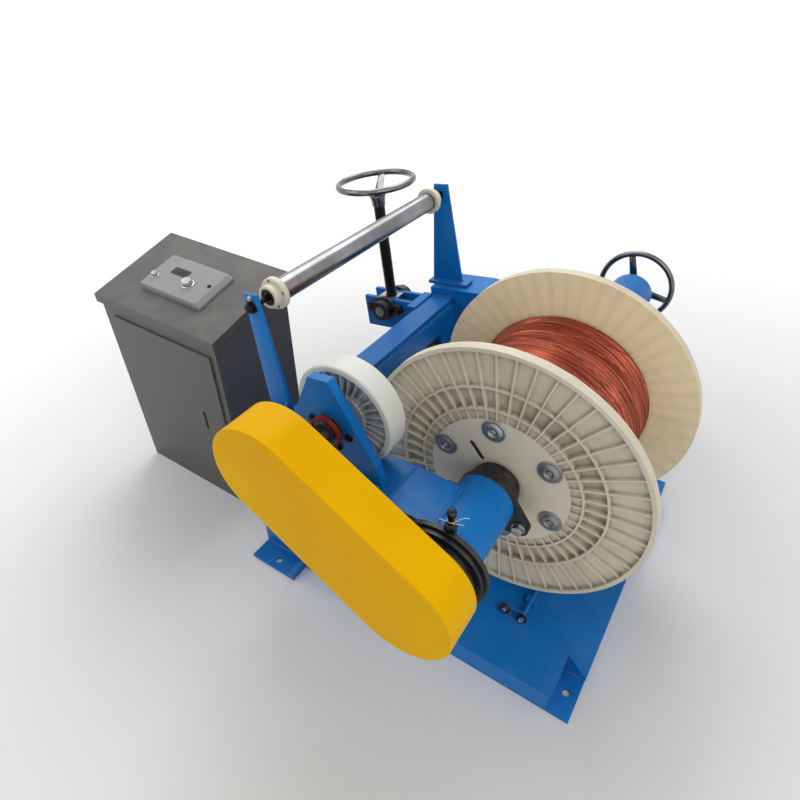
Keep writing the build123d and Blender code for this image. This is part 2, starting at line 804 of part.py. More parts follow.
def make_handwheel(rim_plane, dish, hub_low, hub_high, bore_r, first_spoke):
    """Handwheel as one piece; dish, hub_low and hub_high are measured from the rim's plane."""
    turned_plane = Plane(
        origin=rim_plane.origin, x_dir=rim_plane.x_dir, z_dir=rim_plane.x_dir.cross(rim_plane.z_dir)
    )
    with BuildPart() as wheel:
        with BuildSketch(turned_plane):
            with Locations((wheel_rim_r - wheel_tube_r, 0)):
                Circle(wheel_tube_r)
            with BuildLine():
                Polyline(
                    (bore_r, hub_low), (wheel_hub_small_r, hub_low), (wheel_hub_r, hub_high),
                    (bore_r, hub_high), close=True,
                )
            make_face()
        revolve(axis=Axis(rim_plane.origin, rim_plane.z_dir))
        for step in range(wheel_spokes):
            angle = 2 * pi * step / wheel_spokes + radians(first_spoke)
            outward = rim_plane.x_dir * cos(angle) + rim_plane.y_dir * sin(angle)
            start_r = (wheel_hub_small_r + bore_r) / 2
            start = rim_plane.origin - rim_plane.z_dir * dish + outward * start_r
            end = rim_plane.origin + outward * (wheel_rim_r - wheel_tube_r)
            reach = end - start
            with BuildSketch(Plane(origin=start, x_dir=rim_plane.z_dir.cross(outward), z_dir=reach)):
                Rectangle(wheel_spoke_width, wheel_spoke_thickness)
            extrude(amount=reach.length)
        if bore_r > 0:
            with BuildSketch(rim_plane.offset(hub_low)):
                Circle(bore_r)
            extrude(amount=hub_high - hub_low, mode=Mode.SUBTRACT)
    return wheel.part


lift_rim_plane = screw_plane.offset(screw_head_rise + lift_wheel_dish)
lift_hub_high = -lift_wheel_dish
lift_hub_low = lift_hub_high - lift_hub_length
spoke_sink = lift_wheel_dish + wheel_spoke_thickness
lift_wheel = make_handwheel(lift_rim_plane, spoke_sink, lift_hub_low, lift_hub_high, screw_r, lift_first_spoke)
save(lift_wheel, "lift_handwheel")

# Near spindle tube and its two-bolt flange bearing
with BuildPart() as near_spindle_tube:
    with BuildSketch(side_plane(near_tube_end, spindle_u, spindle_v)):
        Circle(tube_r)
        Circle(tube_r - tube_wall, mode=Mode.SUBTRACT)
    extrude(amount=near_tube_end - near_tube_start)
save(near_spindle_tube.part, "near_spindle_tube")

# Bearing cap on the belt end of the tube, with a grease fitting standing on its edge
cap_r = 99.0
cap_gap = 1.0
cap_thickness = 10.0
with BuildPart() as near_bearing_cap:
    with BuildSketch(side_plane(near_tube_start, spindle_u, spindle_v)):
        Circle(cap_r)
        Circle(spindle_shaft_r + pin_gap, mode=Mode.SUBTRACT)
    extrude(amount=cap_thickness)
save(near_bearing_cap.part, "near_bearing_cap")

grease_x_offset = 12.0
grease_y = near_tube_start - cap_thickness + 12.0
grease_base_r = 12.0
grease_base_height = 18.0
grease_neck_r = 7.0
grease_neck_height = 46.0
grease_head_r = 9.0
grease_head_height = 12.0
grease_seat_z = spindle_z + cap_r - 7.0
with BuildPart() as grease_fitting:
    with BuildSketch(Plane.XY.offset(grease_seat_z)):
        with Locations((spindle_x + grease_x_offset, grease_y)):
            RegularPolygon(grease_base_r, 6)
    extrude(amount=grease_base_height)
    with BuildSketch(Plane.XY.offset(grease_seat_z)):
        with Locations((spindle_x + grease_x_offset, grease_y)):
            Circle(grease_neck_r)
    extrude(amount=grease_neck_height)
    with BuildSketch(Plane.XY.offset(grease_seat_z + grease_neck_height)):
        with Locations((spindle_x + grease_x_offset, grease_y)):
            Circle(grease_head_r)
    extrude(amount=grease_head_height)
    with BuildSketch(side_plane(near_tube_start, spindle_u, spindle_v)):
        Circle(cap_r)
    extrude(amount=cap_thickness, mode=Mode.SUBTRACT)
save(grease_fitting.part, "grease_fitting")

bearing_lug_angles = (-33.0, -147.0)
near_bearing_far_y = near_tube_end + flange_bearing_depth
with BuildPart() as near_flange_bearing:
    with BuildSketch(side_plane(near_tube_end + flange_bearing_base, spindle_u, spindle_v)):
        Circle(flange_bearing_boss_r + 8)
        for lug_angle in bearing_lug_angles:
            with PolarLocations(flange_bearing_lug_reach, 1, start_angle=lug_angle):
                Circle(flange_bearing_lug_r)
        make_hull()
        Circle(spindle_shaft_r + pin_gap, mode=Mode.SUBTRACT)
    extrude(amount=flange_bearing_base)
    with BuildSketch(side_plane(near_bearing_far_y, spindle_u, spindle_v)):
        Circle(flange_bearing_boss_r)
        Circle(spindle_shaft_r + pin_gap, mode=Mode.SUBTRACT)
    extrude(amount=flange_bearing_depth - flange_bearing_base)
save(near_flange_bearing.part, "near_flange_bearing")

# Near spindle: shaft, locking collar and drive disc that carries the spool
collar_r = 36.0
drive_disc_r = 50.0
drive_disc_thickness = 8.0
collar_start = near_bearing_far_y + 1
with BuildPart() as near_spindle:
    with BuildSketch(side_plane(spool_near_y, spindle_u, spindle_v)):
        Circle(spindle_shaft_r)
    extrude(amount=spool_near_y - spindle_shaft_start)
    with BuildSketch(side_plane(spool_near_y, spindle_u, spindle_v)):
        Circle(drive_disc_r)
    extrude(amount=drive_disc_thickness)
    with BuildSketch(side_plane(spool_near_y, spindle_u, spindle_v)):
        Circle(spool_bore_r)
    extrude(amount=-flange_thickness, taper=5)
save(near_spindle.part, "near_spindle")


belt_far_y = belt_near_y + belt_width
pulley_far_y = belt_far_y + pulley_rim
with BuildPart() as spindle_pulley:
    pulley_back_y = near_tube_start - cap_thickness - cap_gap
    with BuildSketch(side_plane(pulley_back_y, spindle_u, spindle_v)):
        Circle(spindle_pulley_far_r)
        Circle(spindle_shaft_r, mode=Mode.SUBTRACT)
    extrude(amount=pulley_rim)
    with BuildSketch(side_plane(pulley_back_y, spindle_u, spindle_v)):
        Circle(spindle_pulley_r - groove_depth)
        Circle(spindle_shaft_r, mode=Mode.SUBTRACT)
    extrude(amount=pulley_back_y - pulley_near_y)
    flange_far_y = pulley_back_y - pulley_rim - pulley_step
    groove_far_y = belt_far_y + running_gap
    groove_near_y = belt_near_y - running_gap
    for rim_far_y, rim_near_y in ((flange_far_y, groove_far_y), (groove_near_y, pulley_near_y)):
        with BuildSketch(side_plane(rim_far_y, spindle_u, spindle_v)):
            Circle(spindle_pulley_r)
            Circle(spindle_shaft_r, mode=Mode.SUBTRACT)
        extrude(amount=rim_far_y - rim_near_y)
save(spindle_pulley.part, "spindle_pulley")

with BuildPart() as brake_pulley:
    with BuildSketch(side_plane(pulley_far_y, brake_u, brake_v)):
        Circle(brake_pulley_r)
        Circle(brake_shaft_r, mode=Mode.SUBTRACT)
    extrude(amount=pulley_far_y - pulley_near_y)
    with BuildSketch(side_plane(belt_far_y + running_gap, brake_u, brake_v)):
        Circle(brake_pulley_r)
        Circle(brake_pulley_r - groove_depth, mode=Mode.SUBTRACT)
    extrude(amount=belt_width + 2 * running_gap, mode=Mode.SUBTRACT)
save(brake_pulley.part, "brake_pulley")

# Drive belt: one closed loop, clear of both grooves by the running gap
centre_du = brake_u - spindle_u
centre_dv = brake_v - spindle_v
centre_distance = hypot(centre_du, centre_dv)
centre_angle = degrees(atan2(centre_dv, centre_du))
belt_plane = side_plane(belt_far_y, spindle_u, spindle_v)
low_belt_r = spindle_pulley_r - groove_depth + running_gap
high_belt_r = brake_pulley_r - groove_depth + running_gap
with BuildPart() as drive_belt:
    with BuildSketch(belt_plane):
        Circle(low_belt_r + belt_thickness)
        with Locations((centre_du, centre_dv)):
            Circle(high_belt_r + belt_thickness)
        make_hull()
    extrude(amount=belt_width)
    with BuildSketch(belt_plane):
        Circle(low_belt_r)
        with Locations((centre_du, centre_dv)):
            Circle(high_belt_r)
        make_hull()
    extrude(amount=belt_width, mode=Mode.SUBTRACT)
save(drive_belt.part, "drive_belt")

# Belt guard: a sheet-metal cover, open at the back
guard_plane = side_plane(guard_far_y, spindle_u + guard_shift_u, spindle_v + guard_shift_v)
with BuildPart() as belt_guard:
    with BuildSketch(guard_plane):
        Circle(guard_low_r)
        with Locations((centre_du, centre_dv)):
            Circle(guard_high_r)
        make_hull()
    extrude(amount=guard_far_y - guard_near_y)
    with BuildSketch(guard_plane):
        Circle(guard_low_r - guard_sheet)
        with Locations((centre_du, centre_dv)):
            Circle(guard_high_r - guard_sheet)
        make_hull()
    extrude(amount=guard_far_y - guard_near_y - guard_sheet, mode=Mode.SUBTRACT)
    fillet(belt_guard.faces().sort_by(Axis.Y)[0].edges(), guard_edge_r)
save(belt_guard.part, "belt_guard")

# Guard bracket: a bar from the arm's side, through the belt's loop, to the guard's face
guard_bar_u = 335.0
guard_bar_v = 78.0
guard_bar_length = 60.0
guard_bar_thickness = 16.0
with BuildPart() as guard_bracket:
    with BuildSketch(side_plane(-arm_outer_y, guard_bar_u, guard_bar_v)):
        Rectangle(guard_bar_length, guard_bar_thickness, rotation=centre_angle)
    extrude(amount=guard_near_y * -1 - arm_outer_y - guard_sheet)
save(guard_bracket.part, "guard_bracket")

# Brake plate standing on the near arm, its outline set out from the brake's axis
brake_plate_far_y = brake_plate_near_y + brake_plate_thickness
plate_foot_right = 100.0
plate_right = (93.0, -68.0)
plate_top_right = (17.0, 106.0)
plate_top_left = (-30.0, 106.0)
plate_left = (-84.0, 20.0)
plate_shaft_gap = 8.0
with BuildPart() as brake_mount_plate:
    with BuildSketch(side_plane(brake_plate_far_y)):
        with BuildLine():
            Polyline(
                (near_arm_low_u, near_arm_low_v),
                (brake_u + plate_foot_right, near_arm_low_v),
                (brake_u + plate_right[0], brake_v + plate_right[1]),
                (brake_u + plate_top_right[0], brake_v + plate_top_right[1]),
                (brake_u + plate_top_left[0], brake_v + plate_top_left[1]),
                (brake_u + plate_left[0], brake_v + plate_left[1]),
                close=True,
            )
        make_face()
        with Locations((brake_u, brake_v)):
            Circle(brake_shaft_r + plate_shaft_gap, mode=Mode.SUBTRACT)
    extrude(amount=brake_plate_thickness)
save(brake_mount_plate.part, "brake_mount_plate")

# Brake drum: turned, open towards the plate, with a boss at the back
brake_far_y = brake_near_y + brake_length
brake_inner_r = brake_r - brake_rim
brake_floor_y = brake_near_y + brake_recess
drum_edge = 5.0
brake_axis = Axis((brake_x, 0, brake_z), (0, 1, 0))
with BuildPart() as brake_drum:
    with BuildSketch(turning_plane(brake_x, brake_z)):
        with BuildLine():
            Polyline(
                (brake_inner_r, brake_near_y),
                (brake_r - drum_edge / 2, brake_near_y),
                (brake_r, brake_near_y + drum_edge / 2),
                (brake_r, brake_far_y - drum_edge),
                (brake_r - drum_edge, brake_far_y),
                (brake_back_boss_r, brake_far_y),
                (brake_back_boss_r, brake_far_y + brake_back_boss),
                (0, brake_far_y + brake_back_boss),
                (0, brake_far_y - drum_edge),
                (brake_shaft_r + pin_gap, brake_far_y - drum_edge),
                (brake_shaft_r + pin_gap, brake_floor_y),
                (brake_inner_r, brake_floor_y),
                close=True,
            )
        make_face()
    revolve(axis=brake_axis)
save(brake_drum.part, "brake_drum")

# Cooling fins: cast disc and hub inside the drum's rim, with radial blades
fin_start_r = brake_hub_r - brake_fin
fin_length = brake_inner_r - running_gap - fin_start_r
with BuildPart() as brake_fins:
    with BuildSketch(side_plane(brake_floor_y, brake_u, brake_v)):
        Circle(brake_inner_r)
        Circle(brake_shaft_r + plate_shaft_gap, mode=Mode.SUBTRACT)
    extrude(amount=brake_disc)
    with BuildSketch(side_plane(brake_floor_y, brake_u, brake_v)):
        Circle(brake_hub_r)
        Circle(brake_shaft_r + plate_shaft_gap, mode=Mode.SUBTRACT)
    extrude(amount=brake_hub_depth)
    with BuildSketch(side_plane(brake_floor_y, brake_u, brake_v)):
        with PolarLocations(fin_start_r + fin_length / 2, brake_fin_count):
            Rectangle(fin_length, brake_fin)
    extrude(amount=brake_fin_depth)
save(brake_fins.part, "brake_fins")

# Brake shaft with a collar against the plate
collar_far_y = brake_plate_near_y - cap_gap
shaft_inner_y = brake_far_y - 2 * drum_edge
with BuildPart() as brake_shaft:
    with BuildSketch(side_plane(shaft_inner_y, brake_u, brake_v)):
        Circle(brake_shaft_r)
    extrude(amount=shaft_inner_y - pulley_near_y)
    with BuildSketch(side_plane(collar_far_y, brake_u, brake_v)):
        Circle(brake_collar_r)
    extrude(amount=brake_collar_length)
save(brake_shaft.part, "brake_shaft")

# Red ring on the shaft, dished towards the belt
ring_far_y = collar_far_y - brake_collar_length
ring_edge = 4.0
with BuildPart() as brake_ring:
    with BuildSketch(side_plane(ring_far_y, brake_u, brake_v)):
        Circle(brake_ring_r)
        Circle(brake_shaft_r, mode=Mode.SUBTRACT)
    extrude(amount=brake_ring_depth)
    with BuildSketch(side_plane(ring_far_y - brake_ring_depth / 2, brake_u, brake_v)):
        Circle(brake_ring_r - ring_edge)
        Circle(brake_shaft_r, mode=Mode.SUBTRACT)
    extrude(amount=brake_ring_depth / 2, mode=Mode.SUBTRACT)
save(brake_ring.part, "brake_ring")

# Spool: two flanges, barrel and winding
# Flanges: moulded, with two ring walls and radial ribs between the flat hub plate and the rim
rib_step = 1.5
spindle_axis = Axis((spindle_x, 0, spindle_z), (0, 1, 0))
spool_mid_y = spool_near_y + spool_width / 2
flange_inner_y = spool_near_y + flange_thickness
ring_half = flange_ring / 2
band_starts = (hub_plate_r, hub_ring_r + ring_half, mid_ring_r + ring_half)
band_ends = (hub_ring_r - ring_half, mid_ring_r - ring_half, flange_r - flange_rim)
band_recesses = (inner_recess, middle_recess, outer_recess)
with BuildPart() as spool_flanges:
    with BuildSketch(turning_plane(spindle_x, spindle_z)):
        with BuildLine():
            Polyline(
                (spool_bore_r, spool_near_y),
                (band_starts[0], spool_near_y),
                (band_starts[0], spool_near_y + inner_recess),
                (band_ends[0], spool_near_y + inner_recess),
                (band_ends[0], spool_near_y + rib_step),
                (band_starts[1], spool_near_y + rib_step),
                (band_starts[1], spool_near_y + middle_recess),
                (band_ends[1], spool_near_y + middle_recess),
                (band_ends[1], spool_near_y + rib_step),
                (band_starts[2], spool_near_y + rib_step),
                (band_starts[2], spool_near_y + outer_recess),
                (band_ends[2], spool_near_y + outer_recess),
                (band_ends[2], spool_near_y),
                (flange_r, spool_near_y),
                (flange_r, flange_inner_y),
                (spool_bore_r, flange_inner_y),
                close=True,
            )
        make_face()
    revolve(axis=spindle_axis)
    for start_r, end_r, recess in zip(band_starts, band_ends, band_recesses):
        with BuildSketch(upright_plane(spindle_x, spool_near_y + recess, spindle_z)):
            with PolarLocations((start_r + end_r) / 2, flange_rib_count):
                Rectangle(end_r - start_r + 2 * rib_step, flange_rib)
        extrude(amount=recess - rib_step)
    with BuildSketch(upright_plane(spindle_x, flange_inner_y, spindle_z)):
        with PolarLocations((start_slot_in + start_slot_out) / 2, 1, start_angle=start_slot_angle):
            SlotOverall(start_slot_out - start_slot_in, start_slot_width)
    extrude(amount=flange_thickness, mode=Mode.SUBTRACT)
    mirror(about=Plane.XZ.offset(-spool_mid_y))
save(spool_flanges.part, "spool_flanges")

barrel_wall = 10.0
barrel_length = spool_width - 2 * flange_thickness
with BuildPart() as spool_barrel:
    with BuildSketch(upright_plane(spindle_x, spool_far_y - flange_thickness, spindle_z)):
        Circle(barrel_r)
        Circle(barrel_r - barrel_wall, mode=Mode.SUBTRACT)
    extrude(amount=barrel_length)
save(spool_barrel.part, "spool_barrel")

with BuildPart() as copper_wire:
    with BuildSketch(upright_plane(spindle_x, spool_far_y - flange_thickness, spindle_z)):
        Circle(wire_r)
        Circle(barrel_r, mode=Mode.SUBTRACT)
    extrude(amount=barrel_length)
save(copper_wire.part, "copper_wire")

# Washers: shallow domes round the hub plate, on both flanges
washer_slope = 40.0
with BuildPart() as spool_washers:
    with BuildSketch(upright_plane(spindle_x, spool_near_y, spindle_z)):
        with PolarLocations(washer_circle_r, washer_count, start_angle=washer_phase):
            Circle(washer_r)
    extrude(amount=washer_height, taper=washer_slope)
    mirror(about=Plane.XZ.offset(-spool_mid_y))
save(spool_washers.part, "spool_washers")

# Far spindle: tube, quill, live centre, feed screw with handwheel
tube_end_wall = 16.0
with BuildPart() as far_spindle_tube:
    with BuildSketch(side_plane(far_tube_end, spindle_u, spindle_v)):
        Circle(tube_r)
    extrude(amount=far_tube_end - far_tube_start)
    with BuildSketch(side_plane(far_tube_end - tube_end_wall, spindle_u, spindle_v)):
        Circle(quill_r + running_gap)
    extrude(amount=far_tube_end - tube_end_wall - far_tube_start, mode=Mode.SUBTRACT)
    with BuildSketch(side_plane(far_tube_end, spindle_u, spindle_v)):
        Circle(feed_screw_r + running_gap)
    extrude(amount=tube_end_wall, mode=Mode.SUBTRACT)
save(far_spindle_tube.part, "far_spindle_tube")

quill_start = spool_far_y + quill_nose_gap
quill_end = quill_start + quill_length
quill_bore_margin = 60.0
quill_bore_depth = quill_travel + quill_bore_margin
nut_gap = 2.0
centre_stub_r = 14.0
centre_stub_length = 24.0
with BuildPart() as far_quill:
    with BuildSketch(side_plane(quill_end, spindle_u, spindle_v)):
        Circle(quill_r)
    extrude(amount=quill_length)
    with BuildSketch(side_plane(quill_end, spindle_u, spindle_v)):
        Circle(feed_screw_r + nut_gap)
    extrude(amount=quill_bore_depth, mode=Mode.SUBTRACT)
    with BuildSketch(side_plane(quill_start + centre_stub_length, spindle_u, spindle_v)):
        Circle(centre_stub_r)
    extrude(amount=centre_stub_length, mode=Mode.SUBTRACT)
save(far_quill.part, "far_quill")

pintle_nose = 34.0
pintle_slope = 6.0
with BuildPart() as far_live_centre:
    with BuildSketch(side_plane(quill_start - running_gap, spindle_u, spindle_v)):
        Circle(pintle_disc_r)
    extrude(amount=quill_nose_gap - 2 * running_gap)
    with BuildSketch(side_plane(spool_far_y + running_gap, spindle_u, spindle_v)):
        Circle(spool_bore_r - running_gap)
    extrude(amount=pintle_nose, taper=pintle_slope)
    with BuildSketch(side_plane(quill_start + centre_stub_length - 2 * running_gap, spindle_u, spindle_v)):
        Circle(centre_stub_r - pin_gap)
    extrude(amount=centre_stub_length)
save(far_live_centre.part, "far_live_centre")

# Far handwheel: its hub runs on as the feed screw inside the quill
screw_overlap = 10.0
screw_start_y = quill_end - quill_travel / 2 - screw_overlap
far_hub_high = 14.0
far_hub_low = far_tube_end + cap_gap - far_wheel_y
far_rim_plane = Plane(origin=(spindle_x, far_wheel_y, spindle_z), x_dir=(0, 0, 1), z_dir=(0, 1, 0))
with BuildPart() as far_handwheel:
    add(make_handwheel(far_rim_plane, far_wheel_dish, far_hub_low, far_hub_high, 0, far_first_spoke))
    with BuildSketch(far_rim_plane.offset(screw_start_y - far_wheel_y)):
        Circle(feed_screw_r)
    extrude(amount=far_wheel_y - screw_start_y)
save(far_handwheel.part, "far_handwheel")

# Guide roller, its axle and the two posts
post_foot = 10.0
post_foot_length = 130.0
post_foot_width = 40.0
post_foot_shift = 10.0
post_gusset = 36.0
post_gusset_u = 22.0
post_gusset_thickness = 6.0
with BuildPart() as roller_posts:
    for face_y in (near_post_y, far_post_y):
        with BuildSketch(side_plane(face_y + thin_plate / 2)):
            with BuildLine():
                Polyline(
                    (roller_u - post_bottom_width / 2, arm_top_v + post_foot),
                    (roller_u + post_bottom_width / 2, arm_top_v + post_foot),
                    (roller_u + post_top_width / 2, post_top_v),
                    (roller_u - post_top_width / 2, post_top_v),
                    close=True,
                )
            make_face()
            with Locations((roller_u, roller_v)):
                Circle(axle_r + pin_gap, mode=Mode.SUBTRACT)
        extrude(amount=thin_plate)
        with BuildSketch(side_plane(face_y + post_foot_width / 2)):
            with Locations((roller_u + post_foot_shift, arm_top_v + post_foot / 2)):
                Rectangle(post_foot_length, post_foot)
        extrude(amount=post_foot_width)
    for face_y, outward in ((near_post_y, -1), (far_post_y, 1)):
        gusset_root_y = face_y + outward * thin_plate / 2
        gusset_x, gusset_z = swing_point(roller_u + post_gusset_u, arm_top_v + post_foot)
        with BuildSketch(
            Plane(origin=(gusset_x, gusset_root_y, gusset_z), x_dir=(0, outward, 0), z_dir=(tilt_cos, 0, tilt_sin))
        ):
            with BuildLine():
                Polyline((0, 0), (post_gusset, 0), (0, outward * post_gusset), close=True)
            make_face()
        extrude(amount=post_gusset_thickness)
save(roller_posts.part, "roller_posts")

axle_overhang = 12.0
with BuildPart() as roller_axle:
    with BuildSketch(side_plane(far_post_y + thin_plate / 2 + axle_overhang, roller_u, roller_v)):
        Circle(axle_r)
    extrude(amount=far_post_y - near_post_y + thin_plate + 2 * axle_overhang)
save(roller_axle.part, "roller_axle")

roller_wall = 3.0
with BuildPart() as guide_roller_tube:
    with BuildSketch(side_plane(roller_far_y, roller_u, roller_v)):
        Circle(roller_r)
        Circle(roller_r - roller_wall, mode=Mode.SUBTRACT)
    extrude(amount=roller_far_y - roller_near_y)
save(guide_roller_tube.part, "guide_roller_tube")

roller_hub_r = 28.0
roller_hub_width = 9.0
roller_mid_y = (roller_near_y + roller_far_y) / 2
roller_face_y = roller_near_y - roller_flange_width
with BuildPart() as guide_roller_flanges:
    with BuildSketch(turning_plane(roller_x, roller_z)):
        with BuildLine():
            Polyline(
                (roller_bearing_r, roller_face_y),
                (roller_flange_r, roller_face_y),
                (roller_flange_r, roller_near_y - roller_hub_width),
                (roller_hub_r, roller_near_y - roller_hub_width),
                (roller_hub_r, roller_near_y),
                (axle_r + running_gap, roller_near_y),
                (axle_r + running_gap, roller_face_y + roller_bearing_recess),
                (roller_bearing_r, roller_face_y + roller_bearing_recess),
                close=True,
            )
        make_face()
    revolve(axis=Axis((roller_x, 0, roller_z), (0, 1, 0)))
    mirror(about=Plane.XZ.offset(-roller_mid_y))
save(guide_roller_flanges.part, "guide_roller_flanges")
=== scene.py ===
"""Looks of a wire spool pay-off stand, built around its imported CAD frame.

Metres, +Z up, floor at Z = 0, in the frame of the CAD part: +Y runs along the spool's axis away
from the belt side, and +X runs from the pivot side to the spool side.
"""

import json
import random
from math import atan2, cos, pi, radians, sin, tan

import bmesh
import bpy
from mathutils import Matrix, Vector


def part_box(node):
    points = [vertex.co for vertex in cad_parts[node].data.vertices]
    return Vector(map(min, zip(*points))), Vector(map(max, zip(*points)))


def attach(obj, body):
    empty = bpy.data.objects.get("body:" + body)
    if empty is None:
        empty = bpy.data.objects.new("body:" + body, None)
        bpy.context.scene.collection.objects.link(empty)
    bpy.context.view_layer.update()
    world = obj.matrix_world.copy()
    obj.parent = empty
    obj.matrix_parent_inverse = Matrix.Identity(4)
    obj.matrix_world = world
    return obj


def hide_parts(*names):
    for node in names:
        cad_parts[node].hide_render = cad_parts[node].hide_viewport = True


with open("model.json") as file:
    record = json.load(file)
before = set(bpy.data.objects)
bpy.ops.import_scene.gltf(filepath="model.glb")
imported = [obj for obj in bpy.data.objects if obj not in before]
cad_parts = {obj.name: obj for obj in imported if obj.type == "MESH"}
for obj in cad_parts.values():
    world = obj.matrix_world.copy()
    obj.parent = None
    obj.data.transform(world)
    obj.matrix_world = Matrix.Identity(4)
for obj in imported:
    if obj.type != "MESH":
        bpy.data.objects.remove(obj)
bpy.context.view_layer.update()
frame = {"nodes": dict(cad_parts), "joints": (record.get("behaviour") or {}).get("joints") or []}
nodes = frame["nodes"]
joint_at = {joint["name"]: Vector(joint["pos_m"]) for joint in frame["joints"] if "pos_m" in joint}

X_AXIS = Vector((1, 0, 0))
Y_AXIS = Vector((0, 1, 0))
Z_AXIS = Vector((0, 0, 1))

# The arms stand tilted; their own side view has u along the arm and v square to it
ARM_TILT = radians(8.5)
ARM_U = Vector((cos(ARM_TILT), 0, sin(ARM_TILT)))
ARM_V = Vector((-sin(ARM_TILT), 0, cos(ARM_TILT)))
PIVOT = joint_at["arm_swing"]
SPINDLE, BRAKE, ROLLER = (Vector((joint_at[name].x, 0, joint_at[name].z))
                          for name in ("spindle_spin", "brake_spin", "guide_roller_spin"))
SCREW_FOOT = joint_at["foot_tilt"]


def swing(u, y, v):
    """Point of the swing frame: u and v from the pivot in the arm's side view, and y across."""
    return PIVOT + ARM_U * u + ARM_V * v + Y_AXIS * y


def around(axis, radius, angle, y):
    """Point on a circle round an axis that runs along Y."""
    return Vector((axis.x + radius * cos(angle), y, axis.z + radius * sin(angle)))


# Materials


class Graph:
    """A node material, and short calls that add nodes to it."""

    def __init__(self, name):
        self.material = bpy.data.materials.new(name)
        self.material.use_nodes = True
        self.tree = self.material.node_tree
        self.shader = self.tree.nodes["Principled BSDF"]
        self.place = self.add("ShaderNodeTexCoord").outputs["Object"]

    def add(self, kind, inputs=None, **settings):
        node = self.tree.nodes.new(kind)
        for key, value in settings.items():
            setattr(node, key, value)
        for key, value in (inputs or {}).items():
            self.feed(node.inputs[key], value)
        return node

    def feed(self, socket, value):
        if isinstance(value, bpy.types.NodeSocket):
            self.tree.links.new(value, socket)
        else:
            socket.default_value = value

    def set(self, **values):
        for key, value in values.items():
            self.feed(self.shader.inputs[key.replace("_", " ")], value)

    def noise(self, scale, detail=4.0, roughness=0.55, stretch=None, distortion=0.0):
        place = self.place
        if stretch:
            place = self.add("ShaderNodeMapping", {"Vector": place, "Scale": stretch}).outputs[0]
        inputs = {"Vector": place, "Scale": scale, "Detail": detail, "Roughness": roughness,
                  "Distortion": distortion}
        return self.add("ShaderNodeTexNoise", inputs).outputs[0]

    def band(self, value, low, high, low_out=0.0, high_out=1.0):
        """The value moved from low..high to low_out..high_out, and held at the ends."""
        inputs = {0: value, 1: low, 2: high, 3: low_out, 4: high_out}
        return self.add("ShaderNodeMapRange", inputs).outputs[0]

    def sum(self, operation, first, second):
        return self.add("ShaderNodeMath", {0: first, 1: second}, operation=operation).outputs[0]

    def mix(self, share, first, second):
        inputs = {0: share, 6: as_colour(first), 7: as_colour(second)}
        return self.add("ShaderNodeMix", inputs, data_type="RGBA").outputs[2]

    def bump(self, height, distance, strength=1.0, normal=None):
        inputs = {"Height": height, "Distance": distance, "Strength": strength}
        if normal is not None:
            inputs["Normal"] = normal
        return self.add("ShaderNodeBump", inputs).outputs[0]

    def rounded(self, radius):
        """Normals that run smoothly round each edge."""
        return self.add("ShaderNodeBevel", {"Radius": radius}, samples=4).outputs[0]

    def edges(self, radius):
        """1 along sharp edges and 0 on the flats."""
        flat = self.add("ShaderNodeNewGeometry").outputs["Normal"]
        inputs = {0: self.rounded(radius), 1: flat}
        agreement = self.add("ShaderNodeVectorMath", inputs, operation="DOT_PRODUCT").outputs["Value"]
        return self.band(agreement, 0.97, 0.8)

    def shade_in_hollows(self, distance):
        """Ambient occlusion mask for painted shade: 1 in corners and recesses, 0 in the open."""
        shade = self.add("ShaderNodeAmbientOcclusion", {"Distance": distance}, samples=6)
        return self.band(shade.outputs["AO"], 0.75, 0.3)

    def facing_up(self):
        """1 on faces that look up, where dust settles."""
        normal = self.add("ShaderNodeNewGeometry").outputs["Normal"]
        height = self.add("ShaderNodeSeparateXYZ", {0: normal}).outputs["Z"]
        return self.band(height, 0.55, 0.95)


def as_colour(value):
    return (*value, 1.0) if isinstance(value, tuple) and len(value) == 3 else value


DUST = (0.34, 0.31, 0.27)
# Dark colour of the painted shade in corners and recesses
HOLLOW_SHADE_COLOUR = (0.055, 0.048, 0.042)
BARE_STEEL = (0.3, 0.29, 0.28)
PAINT_EDGE = 0.0015
ORANGE_PEEL = 0.00025
METAL_EDGE = 0.0008
PLASTIC_GRAIN = 0.00012
IRON_GRAIN = 0.0006


def paint(name, colour, deep, roughness=0.32, chips=0.6, dust=0.25, shine=0.25):
    """Gloss paint on steel, with dust on its flats, painted shade in its corners and recesses, blotched by
    noise, and rubbed edges.
    """
    g = Graph(name)
    cloud = g.band(g.noise(3.0, 5.0), 0.35, 0.7)
    base = g.mix(cloud, deep, colour)
    fine = g.band(g.noise(55.0, 3.0), 0.3, 0.75)
    base = g.mix(g.sum("MULTIPLY", fine, 0.12), base, deep)
    patches = g.band(g.noise(14.0, 6.0, 0.7), 0.48, 0.78)
    dusty = g.sum("MULTIPLY", g.sum("MULTIPLY", patches, g.facing_up()), dust)
    base = g.mix(dusty, base, DUST)
    # Painted shade: corners and recesses darkened by ambient occlusion, blotched by noise
    hollow_shade = g.sum("MULTIPLY", g.shade_in_hollows(0.03), g.band(g.noise(22.0, 5.0), 0.35, 0.65, 0.15, 0.75))
    base = g.mix(hollow_shade, base, HOLLOW_SHADE_COLOUR)
    breaks = g.band(g.noise(120.0, 6.0, 0.75), 0.52, 0.6)
    worn = g.sum("MULTIPLY", g.sum("MULTIPLY", g.edges(PAINT_EDGE), breaks), chips)
    base = g.mix(worn, base, BARE_STEEL)
    scuffs = g.band(g.noise(9.0, 8.0, 0.8, (1, 6, 1)), 0.5, 0.8, 0.0, 0.22)
    gloss = g.sum("ADD", g.band(cloud, 0.0, 1.0, roughness, roughness + 0.08), scuffs)
    gloss = g.sum("ADD", gloss, g.sum("MULTIPLY", dusty, 0.5))
    normal = g.bump(g.noise(260.0, 2.0), ORANGE_PEEL, 0.5, g.rounded(PAINT_EDGE))
    g.set(Base_Color=base, Roughness=gloss, Normal=normal, Metallic=0.0, Specular_IOR_Level=shine)
    return g.material


